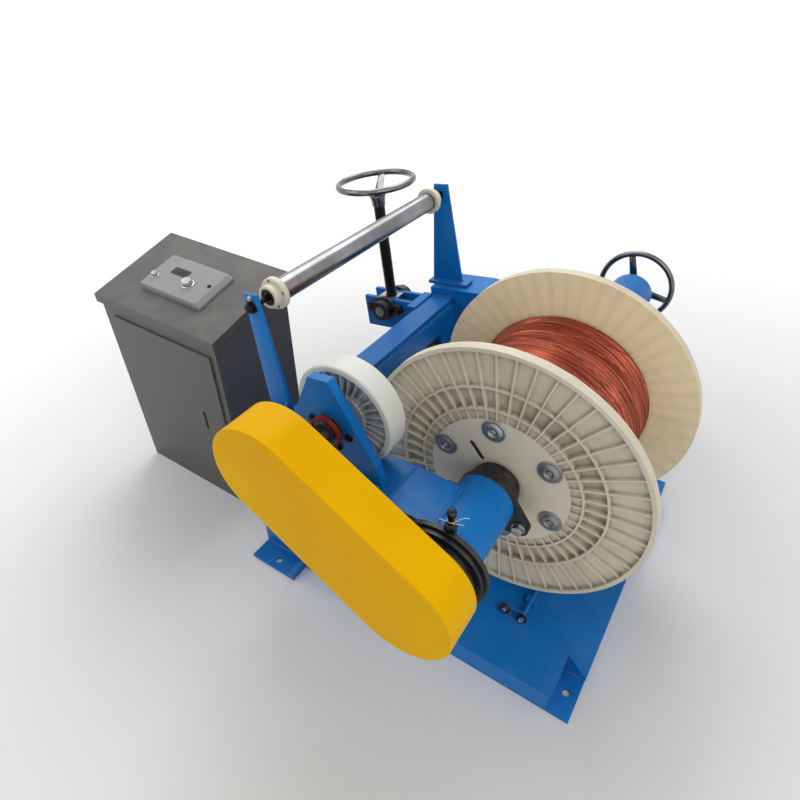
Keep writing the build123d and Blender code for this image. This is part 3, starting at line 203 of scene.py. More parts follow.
def bare_metal(name, colour, deep, roughness, stretch=(1, 1, 1), lines=0.00006, corner_shade=0.4, metal=1.0):
    """Machined or polished metal: fine lines one way, smears, and painted shade in its corners and
    recesses.
    """
    g = Graph(name)
    smear = g.band(g.noise(7.0, 6.0, 0.65), 0.35, 0.72)
    base = g.mix(smear, deep, colour)
    streak = g.noise(140.0, 4.0, 0.6, stretch)
    base = g.mix(g.band(streak, 0.55, 0.8, 0.0, 0.35), base, deep)
    # Painted shade: corners and recesses darkened by ambient occlusion
    hollow_shade = g.sum("MULTIPLY", g.shade_in_hollows(0.012), corner_shade)
    base = g.mix(hollow_shade, base, HOLLOW_SHADE_COLOUR)
    rough = g.band(smear, 0.0, 1.0, roughness + 0.12, roughness)
    rough = g.sum("ADD", rough, g.band(streak, 0.4, 0.7, -0.04, 0.07))
    normal = g.bump(streak, lines, 0.6, g.rounded(METAL_EDGE))
    g.set(Base_Color=base, Roughness=rough, Normal=normal, Metallic=metal)
    return g.material


def cast_iron(name, colour):
    """Rough casting under thin black paint, worn grey on its corners."""
    g = Graph(name)
    lumps = g.noise(90.0, 5.0, 0.6)
    base = g.mix(g.band(lumps, 0.35, 0.7), tuple(0.5 * c for c in colour), colour)
    dusty = g.sum("MULTIPLY", g.facing_up(), g.band(g.noise(18.0, 6.0), 0.45, 0.8, 0.0, 0.4))
    base = g.mix(dusty, base, DUST)
    worn = g.sum("MULTIPLY", g.edges(0.0015), g.band(g.noise(80.0, 5.0, 0.7), 0.45, 0.6, 0.0, 0.7))
    base = g.mix(worn, base, (0.16, 0.155, 0.15))
    rough = g.band(lumps, 0.3, 0.7, 0.36, 0.55)
    normal = g.bump(lumps, IRON_GRAIN, 0.7, g.rounded(0.002))
    g.set(Base_Color=base, Roughness=rough, Normal=normal, Metallic=0.2)
    return g.material


def moulded(name, colour, deep, roughness, glow=0.0, hollow_shade_strength=0.8, zones=None):
    """Moulded plastic: faint flow marks, painted shade in its corners and recesses, blotched by noise, and
    rubbed shiny here and there.
    """
    g = Graph(name)
    flow = g.band(g.noise(5.0, 4.0, 0.6, distortion=0.6), 0.3, 0.75)
    base = g.mix(flow, deep, colour)
    if zones:
        base = zones(g, base)
    specks = g.band(g.noise(170.0, 2.0), 0.7, 0.78, 0.0, 0.35)
    base = g.mix(specks, base, (0.2, 0.17, 0.12))
    smudge = g.band(g.noise(12.0, 7.0, 0.7), 0.5, 0.8, 0.0, 0.3)
    base = g.mix(smudge, base, tuple(0.55 * c for c in deep))
    # Painted shade: corners and recesses darkened by ambient occlusion, blotched by noise
    hollow_shade = g.sum("MULTIPLY", g.shade_in_hollows(0.02), g.band(g.noise(30.0, 4.0), 0.3, 0.65, 0.25, hollow_shade_strength))
    base = g.mix(hollow_shade, base, (0.16, 0.135, 0.1))
    rough = g.sum("ADD", g.band(flow, 0.0, 1.0, roughness, roughness + 0.12), smudge)
    normal = g.bump(g.noise(420.0, 2.0), PLASTIC_GRAIN, 0.5, g.rounded(0.0012))
    g.set(Base_Color=base, Roughness=rough, Normal=normal, Metallic=0.0)
    if glow > 0:
        g.set(Subsurface_Weight=glow, Subsurface_Scale=0.01)
    return g.material


SPOOL_RIBS = 48
HUB_PLATE_R = (0.1565, 0.1545)
FLANGE_DEPTH = (0.0205, 0.0195)


def spool_hub_and_backlight(g, base):
    """Greyer hub plates, and painted backlight on the inner faces: brighter, warmer cream crossed by faint
    painted shadows of the ribs behind them, as if light shone through the plastic.
    """
    place = g.add("ShaderNodeSeparateXYZ", {0: g.place}).outputs
    low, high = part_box("spool_flanges")
    middle, half = (low.y + high.y) / 2, (high.y - low.y) / 2
    from_middle = g.sum("ABSOLUTE", g.sum("SUBTRACT", place["Y"], middle), 0.0)
    x = g.sum("SUBTRACT", place["X"], SPINDLE.x)
    z = g.sum("SUBTRACT", place["Z"], SPINDLE.z)
    reach = g.sum("SQRT", g.sum("ADD", g.sum("MULTIPLY", x, x), g.sum("MULTIPLY", z, z)), 0.0)
    outside = g.band(from_middle, *(half - depth for depth in FLANGE_DEPTH))
    hub = g.sum("MULTIPLY", outside, g.band(reach, *HUB_PLATE_R))
    base = g.mix(hub, base, (0.74, 0.69, 0.55))
    # Painted backlight: inner faces lit brighter, with darker lines where the ribs would block the light
    turn = g.sum("MULTIPLY", g.sum("ARCTAN2", z, x), SPOOL_RIBS / (2 * pi))
    rib_shadow = g.band(g.sum("PINGPONG", turn, 0.5), 0.1, 0.26, 0.3, 0.0)
    painted_backlight = g.mix(rib_shadow, (0.9, 0.8, 0.53), (0.74, 0.64, 0.42))
    return g.mix(outside, painted_backlight, base)


def copper_wire_finish(name):
    """Drawn copper: each turn a little lighter or darker, tarnished in patches."""
    g = Graph(name)
    turn_tone = g.noise(260.0, 1.0, 0.5, (0.03, 1.0, 0.03))
    base = g.mix(g.band(turn_tone, 0.35, 0.65), (0.22, 0.042, 0.026), (0.52, 0.135, 0.085))
    tarnish = g.band(g.noise(9.0, 6.0, 0.7), 0.48, 0.75, 0.0, 0.65)
    base = g.mix(tarnish, base, (0.14, 0.036, 0.022))
    pale = g.band(g.noise(40.0, 5.0, 0.8, (1.0, 3.0, 1.0)), 0.62, 0.72, 0.0, 0.5)
    base = g.mix(pale, base, (0.95, 0.52, 0.36))
    rough = g.band(g.noise(30.0, 4.0), 0.3, 0.7, 0.24, 0.42)
    g.set(Base_Color=base, Roughness=rough, Metallic=1.0, Normal=g.bump(turn_tone, 0.0003, 0.5))
    return g.material


def rubber(name, colour):
    """Matt rubber with a dusty bloom."""
    g = Graph(name)
    bloom = g.band(g.noise(20.0, 6.0, 0.7), 0.4, 0.75, 0.0, 0.35)
    base = g.mix(bloom, colour, (0.12, 0.115, 0.11))
    rough = g.band(bloom, 0.0, 0.35, 0.55, 0.8)
    g.set(Base_Color=base, Roughness=rough, Normal=g.bump(g.noise(500.0, 2.0), 0.0002, 0.5))
    return g.material


def powder_coat(name, colour, deep, speckle=0.00035):
    """Textured powder coat on sheet steel."""
    g = Graph(name)
    cloud = g.band(g.noise(4.0, 5.0), 0.3, 0.75)
    base = g.mix(cloud, deep, colour)
    grain = g.noise(700.0, 2.0, 0.6)
    base = g.mix(g.band(grain, 0.35, 0.7, 0.0, 0.25), base, deep)
    dusty = g.sum("MULTIPLY", g.facing_up(), g.band(g.noise(10.0, 7.0, 0.7), 0.45, 0.8, 0.0, 0.3))
    base = g.mix(dusty, base, DUST)
    streaks = g.band(g.noise(12.0, 6.0, 0.7, (5, 5, 0.6)), 0.55, 0.85, 0.0, 0.25)
    base = g.mix(streaks, base, tuple(0.6 * c for c in deep))
    worn = g.sum("MULTIPLY", g.edges(0.001), g.band(g.noise(60.0, 5.0, 0.7), 0.5, 0.62, 0.0, 0.5))
    base = g.mix(worn, base, BARE_STEEL)
    normal = g.bump(grain, speckle, 0.6, g.rounded(0.0015))
    rough = g.band(cloud, 0.0, 1.0, 0.42, 0.55)
    g.set(Base_Color=base, Roughness=rough, Normal=normal, Metallic=0.15)
    return g.material


blue = paint("blue_enamel", (0.002, 0.205, 0.62), (0.001, 0.14, 0.46), dust=0.09)
yellow = paint("yellow_enamel", (0.91, 0.515, 0.001), (0.85, 0.44, 0.001), 0.3, 0.2, 0.02, shine=0.04)
white = paint("white_enamel", (0.8, 0.81, 0.74), (0.68, 0.69, 0.62), 0.35, 0.3, 0.1)
red = paint("red_enamel", (0.4, 0.02, 0.01), (0.2, 0.008, 0.006), 0.4, 0.5, 0.2)
black_iron = cast_iron("black_casting", (0.018, 0.018, 0.02))
turned_steel = bare_metal("turned_steel", (0.55, 0.55, 0.54), (0.32, 0.32, 0.32), 0.26, (1, 8, 1))
roller_steel = bare_metal(
    "polished_tube", (0.3, 0.3, 0.312), (0.17, 0.17, 0.178), 0.2, (1, 30, 1), corner_shade=0.2
)
chrome = bare_metal("chrome", (0.22, 0.22, 0.225), (0.1, 0.1, 0.105), 0.09, lines=0.00003, corner_shade=0.6)
bright_steel = bare_metal("bright_steel", (0.74, 0.74, 0.74), (0.5, 0.5, 0.5), 0.2, corner_shade=0.5)
black_steel = bare_metal("blackened_steel", (0.035, 0.035, 0.038), (0.016, 0.016, 0.018), 0.3, corner_shade=0.2)
bolt_black = bare_metal("black_oxide_bolt", (0.05, 0.05, 0.055), (0.02, 0.02, 0.022), 0.34)
bolt_zinc = bare_metal("zinc_bolt", (0.62, 0.61, 0.57), (0.34, 0.33, 0.3), 0.26)
fin_metal = bare_metal(
    "cast_aluminium", (0.86, 0.87, 0.88), (0.62, 0.625, 0.63), 0.34, corner_shade=0.55, metal=0.55
)
pulley_metal = bare_metal("turned_aluminium", (0.6, 0.61, 0.62), (0.4, 0.4, 0.41), 0.3, (1, 12, 1))
washer_metal = bare_metal("zinc_washer", (0.38, 0.38, 0.372), (0.24, 0.24, 0.235), 0.3, metal=0.72)
spool_plastic = moulded(
    "cream_plastic", (0.76, 0.7, 0.56), (0.64, 0.585, 0.46), 0.42, 0.12, hollow_shade_strength=0.75, zones=spool_hub_and_backlight
)
nylon = moulded("cream_nylon", (0.8, 0.77, 0.63), (0.68, 0.65, 0.51), 0.35, 0.1, hollow_shade_strength=0.4)
copper = copper_wire_finish("copper")
belt = rubber("belt_rubber", (0.016, 0.016, 0.017))
grey_coat = powder_coat("grey_powder_coat", (0.118, 0.117, 0.113), (0.09, 0.089, 0.086))
panel_coat = powder_coat("panel_grey", (0.31, 0.31, 0.312), (0.26, 0.26, 0.262), 0.0001)
black_gloss = moulded("black_plastic", (0.018, 0.018, 0.02), (0.01, 0.01, 0.011), 0.22, hollow_shade_strength=0.3)

# Material, slot and CAD nodes that carry them
FINISH = [
    (blue, "blue_paint", "base_rear_channel rear_anchor_feet base_rails base_deck_plate "
     "base_corner_pockets pivot_stands screw_foot_bracket spool_stop_bar spool_stop_blocks "
     "cross_beam beam_face_plate pivot_lugs near_arm far_arm lever_plates lever_tie_plate "
     "near_spindle_tube brake_mount_plate roller_posts guard_bracket far_spindle_tube"),
    (grey_coat, "grey_paint", "console_body console_lid console_door"),
    (panel_coat, "panel_aluminium", "control_panel"),
    (black_iron, "black_iron", "pivot_pillow_blocks trunnion_bearings near_flange_bearing "
     "near_bearing_cap spindle_pulley near_spindle grease_fitting spool_stop_roller"),
    (turned_steel, "machined_steel", "pivot_shaft brake_shaft far_quill far_live_centre "
     "screw_foot lift_nut"),
    (roller_steel, "machined_steel", "guide_roller_tube"),
    (chrome, "chrome_wheel", "lift_handwheel far_handwheel panel_knobs"),
    (black_steel, "black_screw", "lift_screw roller_axle"),
    (yellow, "yellow_paint", "belt_guard"),
    (white, "white_paint", "brake_drum"),
    (fin_metal, "cast_aluminium", "brake_fins"),
    (red, "red_paint", "brake_ring"),
    (pulley_metal, "pulley_aluminium", "brake_pulley"),
    (belt, "belt_rubber", "drive_belt"),
    (spool_plastic, "spool_plastic", "spool_flanges spool_barrel"),
    (copper, "copper", "copper_wire"),
    (washer_metal, "washer_steel", "spool_washers"),
    (nylon, "cream_nylon", "guide_roller_flanges"),
]
for material, slot_name, names in FINISH:
    for node_name in names.split():
        carried = nodes[node_name]
        carried.data.materials.clear()
        carried.data.materials.append(material)


# Mesh helpers: each adds to a bmesh at a place given as a matrix whose +Z is the piece's axis


def at(point, axis=Z_AXIS):
    return Matrix.Translation(point) @ Z_AXIS.rotation_difference(Vector(axis)).to_matrix().to_4x4()


def piece(name, bm, body, material, replaced=()):
    """Makes an object of the bmesh, riding on a body, in place of the CAD nodes named."""
    bmesh.ops.recalc_face_normals(bm, faces=bm.faces)
    mesh = bpy.data.meshes.new(name)
    bm.to_mesh(mesh)
    bm.free()
    mesh.materials.append(material)
    mesh.shade_smooth()
    mesh.set_sharp_from_angle(angle=radians(32))
    made = bpy.data.objects.new(name, mesh)
    bpy.context.scene.collection.objects.link(made)
    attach(made, body)
    if replaced:
        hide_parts(*replaced)


def bridge(bm, low, high):
    """Faces between two rings; a ring of one point makes a fan."""
    count = max(len(low), len(high))
    for step in range(count):
        after = (step + 1) % count
        corners = (low[step % len(low)], low[after % len(low)],
                   high[after % len(high)], high[step % len(high)])
        kept = list(dict.fromkeys(corners))
        if len(kept) > 2:
            bm.faces.new(kept)


def circle(bm, place, x, y, radius, height, segments):
    """Ring of points round x, y at a height."""
    angles = [2 * pi * step / segments for step in range(segments)]
    spots = [Vector((x + radius * cos(a), y + radius * sin(a), height)) for a in angles]
    return [bm.verts.new(place @ spot) for spot in spots]


ROUND_STEPS = 48


def turned(bm, place, profile, segments=ROUND_STEPS):
    """A surface turned from (radius, height) points."""
    rings = []
    for radius, height in profile:
        if radius == 0:
            rings.append([bm.verts.new(place @ Vector((0, 0, height)))])
            continue
        rings.append(circle(bm, place, 0, 0, radius, height, segments))
    for low, high in zip(rings, rings[1:]):
        bridge(bm, low, high)


HEX_STEPS = 36
CHAMFER_SLOPE = tan(radians(30))


def hex_ring(across, angle):
    """Distance from the axis to a hexagon's side at an angle."""
    return across / 2 / cos((angle + pi / 6) % (pi / 3) - pi / 6)


def hex_head(bm, place, across, height):
    """Hexagon head or nut with the chamfer that turning leaves on its corners."""
    flat = 0.47 * across
    foot, shoulder, crown = [], [], []
    for step in range(HEX_STEPS):
        angle = 2 * pi * step / HEX_STEPS
        reach = hex_ring(across, angle)
        spot = Vector((reach * cos(angle), reach * sin(angle), 0))
        foot.append(bm.verts.new(place @ spot))
        drop = (reach - flat) * CHAMFER_SLOPE
        shoulder.append(bm.verts.new(place @ (spot + Vector((0, 0, height - drop)))))
        crown.append(bm.verts.new(place @ Vector((flat * cos(angle), flat * sin(angle), height))))
    bridge(bm, foot, shoulder)
    bridge(bm, shoulder, crown)
    bm.faces.new(crown)


def bolt(bm, place, size, stud=0.0):
    """Hexagon bolt of a nominal size on its washer; stud is how far a thread stands out of it."""
    washer, head = 0.16 * size, 0.68 * size
    outer = 1.05 * size
    turned(bm, place, [(outer, 0), (outer, washer * 0.8), (1.0 * size, washer), (0.5 * size, washer)], 32)
    seat = place @ Matrix.Translation((0, 0, washer))
    hex_head(bm, seat, 1.55 * size, head)
    if stud > 0:
        thread(bm, seat, 0.4 * size, 0.48 * size, 0.16 * size, 0.6 * size, head + stud)


THREAD_STEPS = 20


def helix_row(bm, place, angle, rise, pitch, section):
    """Points of a section, given as (radius, share of the pitch), at an angle of a helix."""
    out = Vector((cos(angle), sin(angle), 0))
    return [bm.verts.new(place @ (out * r + Z_AXIS * (rise + share * pitch))) for r, share in section]


def join_rows(bm, rows):
    """Faces between the rows of a helix."""
    for row, following in zip(rows, rows[1:]):
        for side in range(len(row) - 1):
            bm.faces.new([row[side], following[side], following[side + 1], row[side + 1]])


def thread(bm, place, root, crest, pitch, start, end):
    """Rod with a screw thread on it, from start to end along the axis, and a chamfered tip."""
    lead_in = crest - root
    turned(bm, place, [(root, start), (root, end - lead_in), (root - lead_in, end), (0, end)], THREAD_STEPS)
    rows = []
    for step in range(int((end - start - pitch) / pitch * THREAD_STEPS) + 1):
        angle = 2 * pi * step / THREAD_STEPS
        rise = start + pitch * step / THREAD_STEPS
        section = ((root, 0.0), (crest, 0.3), (crest, 0.62), (root, 0.92))
        rows.append(helix_row(bm, place, angle, rise, pitch, section))
    join_rows(bm, rows)


def frame_at(origin, x_axis, y_axis):
    """Place with its own X and Y axes; Z is square to both."""
    z_axis = x_axis.cross(y_axis)
    rows = [(x_axis[k], y_axis[k], z_axis[k], origin[k]) for k in range(3)]
    return Matrix((*rows, (0, 0, 0, 1)))


def side_frame(u, y, v):
    """Side view of the swing frame: X and Y run along u and v, and Z runs towards -Y."""
    return frame_at(swing(u, y, v), ARM_U, ARM_V)


def prism(bm, place, outline, depth, bevel=0.0012):
    """Plate of an outline with eased edges."""
    low = [bm.verts.new(place @ Vector((x, y, 0))) for x, y in outline]
    high = [bm.verts.new(place @ Vector((x, y, depth))) for x, y in outline]
    bridge(bm, low, high)
    bm.faces.new(low)
    bm.faces.new(high)
    edges = {edge for vert in low + high for edge in vert.link_edges}
    bmesh.ops.bevel(bm, geom=list(edges), offset=bevel, segments=2, profile=0.5, affect="EDGES")


def box_outline(x0, x1, y0, y1):
    return [(x0, y0), (x1, y0), (x1, y1), (x0, y1)]


CORNER_STEPS = 5


def rounded_box(x0, x1, y0, y1, radius):
    """Rectangle with round corners."""
    corners = ((x1 - radius, y0 + radius, -90), (x1 - radius, y1 - radius, 0),
               (x0 + radius, y1 - radius, 90), (x0 + radius, y0 + radius, 180))
    outline = []
    for x, y, first in corners:
        for step in range(CORNER_STEPS + 1):
            angle = radians(first + 90 * step / CORNER_STEPS)
            outline.append((x + radius * cos(angle), y + radius * sin(angle)))
    return outline


def stacked(bm, place, layers):
    """Solid through outlines of equal count, each given with its height."""
    rings = []
    for outline, height in layers:
        rings.append([bm.verts.new(place @ Vector((x, y, height))) for x, y in outline])
    for low, high in zip(rings, rings[1:]):
        bridge(bm, low, high)
    bm.faces.new(rings[0])
    bm.faces.new(rings[-1])


def sweep(bm, centres, radii, sides=7):
    """Round rod along a path, closed at its ends."""
    rings = [[bm.verts.new(centres[0])]]
    across = (centres[1] - centres[0]).orthogonal()
    for index, (centre, radius) in enumerate(zip(centres, radii)):
        run = (centres[min(index + 1, len(centres) - 1)] - centres[max(index - 1, 0)]).normalized()
        across = (across - run * across.dot(run)).normalized()
        other = run.cross(across)
        corners = [2 * pi * k / sides for k in range(sides)]
        spots = [centre + (across * cos(a) + other * sin(a)) * radius for a in corners]
        rings.append([bm.verts.new(spot) for spot in spots])
    rings.append([bm.verts.new(centres[-1])])
    for low, high in zip(rings, rings[1:]):
        bridge(bm, low, high)


WELD_RIPPLE = 0.004
BEAD = 0.003


def weld(bm, corners, radius=BEAD):
    """Weld bead with its ripples, along a path through corners."""
    centres = [Vector(corners[0])]
    for start, end in zip(corners, corners[1:]):
        start, end = Vector(start), Vector(end)
        count = max(1, int((end - start).length / WELD_RIPPLE))
        centres += [start + (end - start) * (step / count) for step in range(1, count + 1)]
    radii = [radius * (0.86 + 0.14 * (k % 2) + 0.08 * sin(k * 1.7)) for k in range(len(centres))]
    sweep(bm, centres, radii)


def arc(place, radius, first, last, step=6):
    """Points of an arc in a place's XY plane, in degrees."""
    count = max(2, round(abs(last - first) / step))
    angles = [radians(first + (last - first) * k / count) for k in range(count + 1)]
    return [place @ Vector((radius * cos(a), radius * sin(a), 0)) for a in angles]


HOLE_STEPS = 14


def drilled_ring(bm, place, inner, outer, height, hole_angles, hole_r, hole_depth):
    """Flat ring at a height, with blind holes on the circle halfway across it."""
    middle = (inner + outer) / 2
    centres = [(middle * cos(angle), middle * sin(angle)) for angle in hole_angles]
    loops = [circle(bm, place, 0, 0, radius, height, ROUND_STEPS) for radius in (inner, outer)]
    rims = [circle(bm, place, x, y, hole_r, height, HOLE_STEPS) for x, y in centres]
    pairs = [pair for ring in loops + rims for pair in zip(ring, ring[1:] + ring[:1])]
    bmesh.ops.triangle_fill(bm, use_beauty=True, edges=[bm.edges.new(pair) for pair in pairs])
    for (x, y), rim in zip(centres, rims):
        low = circle(bm, place, x, y, hole_r, height - hole_depth, HOLE_STEPS)
        bridge(bm, low, rim)
        bm.faces.new(low)


# Lift screw: the real one's trapezoidal thread in place of the plain rod
FOOT_TO_NUT = 0.292
SCREW_CREST = 0.016
SCREW_ROOT = 0.0132
SCREW_PITCH = 0.006
SCREW_TOP = FOOT_TO_NUT + 0.333
SCREW_THREAD_TOP = FOOT_TO_NUT + 0.12
SCREW_THREAD_LOW = 0.03
screw_place = at(SCREW_FOOT, ARM_V)
rod = bmesh.new()
turned(rod, screw_place, [(0, 0.006), (0.012, 0.006), (SCREW_ROOT, 0.008), (SCREW_ROOT, 0.031)], 32)
thread(rod, screw_place, SCREW_ROOT, SCREW_CREST, SCREW_PITCH, SCREW_THREAD_LOW, SCREW_THREAD_TOP)
PLAIN_ROD = [(SCREW_ROOT, SCREW_THREAD_TOP - 0.004), (SCREW_CREST, SCREW_THREAD_TOP),
             (SCREW_CREST, SCREW_TOP), (0, SCREW_TOP)]
turned(rod, screw_place, PLAIN_ROD, 40)
piece("lift_screw_threaded", rod, "lift_screw", black_steel, ["lift_screw"])

# Copper winding: turns of wire laid side by side, each a little high or low
WIRE = 0.0024
WIND_LOW = 0.1505
WIND_TOP = 0.2101
WIND_VALLEY = WIND_TOP - 0.0016
WIND_GAP = 0.0015
WIND_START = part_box("copper_wire")[0].y + WIND_GAP
WIND_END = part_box("copper_wire")[1].y - WIND_GAP
WIND_STEPS = 96
# Turns next to each other that wave alike
TURNS_IN_STEP = 9
spool_place = at(Vector((SPINDLE.x, 0, SPINDLE.z)), Y_AXIS)
rng = random.Random(7)
turns = int((WIND_END - WIND_START) / WIRE)
swell = [rng.uniform(-0.0009, 0.0003) for _ in range(turns + 2)]
drift = [rng.uniform(0, 2 * pi) for _ in range(turns + 2)]
winding = bmesh.new()
rows = []
for step in range(turns * WIND_STEPS + 1):
    turn = step // WIND_STEPS
    angle = 2 * pi * step / WIND_STEPS
    share = (step % WIND_STEPS) / WIND_STEPS
    wave = 0.0005 * sin(3 * angle + drift[turn // TURNS_IN_STEP])
    crest = WIND_TOP + (swell[turn] * (1 - share) + swell[turn + 1] * share + wave)
    rise = WIND_START + WIRE * step / WIND_STEPS
    section = ((WIND_VALLEY, 0.0), (crest, 0.28), (crest, 0.72), (WIND_VALLEY, 1.0))
    rows.append(helix_row(winding, spool_place, angle, rise, WIRE, section))
join_rows(winding, rows)
for flat_y in (WIND_START, WIND_END):
    turned(winding, spool_place, [(WIND_LOW, flat_y), (WIND_TOP - 0.0012, flat_y)], WIND_STEPS)
piece("copper_winding", winding, "spool_and_spindle", copper, ["copper_wire"])

# Loose strands that cross the turns
STRANDS = 64
STRAND_STEPS = 40
STRAND_MARGIN = 0.002
strands = bmesh.new()
for number in range(STRANDS):
    begin = rng.uniform(0, 2 * pi)
    span = rng.uniform(0.6, 2.0)
    low = rng.uniform(WIND_START + 0.01, WIND_END - 0.01)
    shift = rng.uniform(-0.1, 0.1)
    centres = []
    for step in range(STRAND_STEPS + 1):
        share = step / STRAND_STEPS
        angle = begin + span * share
        rise = min(max(low + shift * share, WIND_START + STRAND_MARGIN), WIND_END - STRAND_MARGIN)
        lifted = WIND_TOP + 0.0009 * sin(pi * share) - 0.0008
        centres.append(spool_place @ Vector((lifted * cos(angle), lifted * sin(angle), rise)))
    sweep(strands, centres, [WIRE * 0.45] * len(centres), 6)
piece("copper_strands", strands, "spool_and_spindle", copper)

# Washers on the spool: pressed domes with a dimple and a rivet head, on both flanges
FLANGE_FACES = ((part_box("spool_flanges")[0].y, -1), (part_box("spool_flanges")[1].y, 1))
WASHERS = 6
WASHER_CIRCLE = 0.132
WASHER_DOME = [(0.026, 0), (0.0258, 0.002), (0.0246, 0.0031), (0.0226, 0.0034), (0.0208, 0.0032),
               (0.0185, 0.0044), (0.0155, 0.0066), (0.0125, 0.0077), (0.0102, 0.0077), (0.0082, 0.0058),
               (0.0066, 0.0048), (0, 0.0046)]
RIVET = [(0.0062, 0.0042), (0.0061, 0.0062), (0.005, 0.0075), (0.0034, 0.0079), (0.0024, 0.0064),
         (0, 0.0062)]
domes, rivets = bmesh.new(), bmesh.new()
for flange_y, outward in FLANGE_FACES:
    for number in range(WASHERS):
        centre = around(SPINDLE, WASHER_CIRCLE, radians(40 + 360 / WASHERS * number), flange_y)
        turned(domes, at(centre, Y_AXIS * outward), WASHER_DOME, 40)
        turned(rivets, at(centre, Y_AXIS * outward), RIVET, 16)
piece("spool_domed_washers", domes, "spool_and_spindle", washer_metal, ["spool_washers"])
piece("spool_washer_rivets", rivets, "spool_and_spindle", washer_metal)

# Painted shade behind the slot where the wire's end goes in: a black plate just under the hub plate's face,
# standing for the dark inside of the barrel
SLOT_ANGLE = radians(131)
SLOT_REACH = 0.082
SLOT_DEPTH = 0.004
SLOT_OUTLINE = rounded_box(-0.0249, 0.0249, -0.0059, 0.0059, 0.0058)
slot_out = Vector((cos(SLOT_ANGLE), 0, sin(SLOT_ANGLE)))
slot_shade_plate = bmesh.new()
for face_y, outward in FLANGE_FACES:
    middle = Vector((SPINDLE.x, face_y - outward * SLOT_DEPTH, SPINDLE.z)) + slot_out * SLOT_REACH
    slot_place = frame_at(middle, slot_out, (Y_AXIS * outward).cross(slot_out))
    prism(slot_shade_plate, slot_place, SLOT_OUTLINE, 0.0015, 0.0002)
piece("start_slot_painted_shade", slot_shade_plate, "spool_and_spindle", belt)

# Bolts of the pillow blocks and of the bearings
STAND_Y = 0.2
PILLOW_LUG = 0.0795
PILLOW_FOOT = 0.018
pillow_top = PIVOT.z - 0.057 + PILLOW_FOOT
pillow_bolts = bmesh.new()
for stand_y in (-STAND_Y, STAND_Y):
    for side in (-1, 1):
        bolt(pillow_bolts, at(Vector((PIVOT.x + side * PILLOW_LUG, stand_y, pillow_top))), 0.016, 0.008)
piece("pillow_block_bolts", pillow_bolts, "base", bolt_black)

FLANGE_LUG = 0.0875
flange_face_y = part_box("near_flange_bearing")[0].y
flange_bolts = bmesh.new()
for lug_angle in (-33, -147):
    centre = around(SPINDLE, FLANGE_LUG, radians(lug_angle) + ARM_TILT, flange_face_y)
    bolt(flange_bolts, at(centre, -Y_AXIS), 0.014)
piece("flange_bearing_bolts", flange_bolts, "swing_frame", bolt_zinc)

TRUNNION_U, TRUNNION_V = -0.155, 0.097
TRUNNION_LUG = 0.048
trunnion_bolts = bmesh.new()
for face_y, outward in ((0.258, -1), (0.352, 1)):
    for side in (-1, 1):
        centre = swing(TRUNNION_U + side * TRUNNION_LUG, face_y, TRUNNION_V)
        bolt(trunnion_bolts, at(centre, Y_AXIS * outward), 0.011)
piece("trunnion_bearing_bolts", trunnion_bolts, "swing_frame", bolt_black)

# Bolts round the brake's shaft, on the belt side of its plate
BRAKE_BOLT_CIRCLE = 0.044
brake_plate_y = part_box("brake_mount_plate")[0].y
brake_bolts = bmesh.new()
for bolt_angle in (-15, -75, -135, 165):
    centre = around(BRAKE, BRAKE_BOLT_CIRCLE, radians(bolt_angle) + ARM_TILT, brake_plate_y)
    bolt(brake_bolts, at(centre, -Y_AXIS), 0.008)
piece("brake_plate_bolts", brake_bolts, "swing_frame", bolt_black)

# Dark seal inside the red ring, and the black sleeve on the shaft in front of it
SEAL = [(0.0165, -0.0048), (0.0165, -0.0028), (0.0185, -0.0018), (0.0225, -0.0018), (0.024, -0.0034),
        (0.0268, -0.0034), (0.0285, -0.0022), (0.0295, -0.0022), (0.0295, -0.0048)]
SLEEVE = [(0.0162, -0.004), (0.0205, -0.004), (0.0205, 0.03), (0.019, 0.032), (0.019, 0.06),
          (0.0162, 0.061)]
ring_place = at(Vector((BRAKE.x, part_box("brake_ring")[0].y, BRAKE.z)), -Y_AXIS)
seal = bmesh.new()
turned(seal, ring_place, SEAL)
turned(seal, ring_place, SLEEVE)
piece("brake_ring_seal", seal, "brake_rotor", black_gloss)

# Guide roller: polished tube, and moulded ends with a bearing and four holes each, with black discs of
# painted shade at the bottom of the holes
ROLLER_ENDS = ((-0.285, -1), (0.312, 1))
ROLLER_SKIN = 0.024
TUBE_BORE = 0.0065
END_BORE = 0.0066
END_FLANGE_R, END_FLANGE_DEPTH = 0.034, 0.014
END_BOSS_R, END_BOSS_DEPTH = 0.0245, 0.018
END_FACE = END_FLANGE_DEPTH + END_BOSS_DEPTH
END_FLAT_R = END_FLANGE_R - 0.0015
BEARING_R = 0.018
BEARING_SKIN = BEARING_R - 0.0001
HOLE_R = 0.0034
HOLE_DEPTH = 0.006
HOLE_ANGLES = [radians(20 + 90 * number) for number in range(4)]
tube, ends, bearings_and_hole_shade = bmesh.new(), bmesh.new(), bmesh.new()
near_end, far_end = (end_y for end_y, _ in ROLLER_ENDS)
length = far_end - near_end
TUBE = [(TUBE_BORE, 0), (ROLLER_SKIN - 0.001, 0), (ROLLER_SKIN, 0.001), (ROLLER_SKIN, length - 0.001),
        (ROLLER_SKIN - 0.001, length), (TUBE_BORE, length)]
turned(tube, at(Vector((ROLLER.x, near_end, ROLLER.z)), Y_AXIS), TUBE, 64)
END_RIM = [(END_BORE, 0.0002), (END_FLANGE_R - 0.002, 0.0002), (END_FLANGE_R, 0.002),
           (END_FLANGE_R, END_FLANGE_DEPTH - 0.002), (END_FLAT_R, END_FLANGE_DEPTH)]
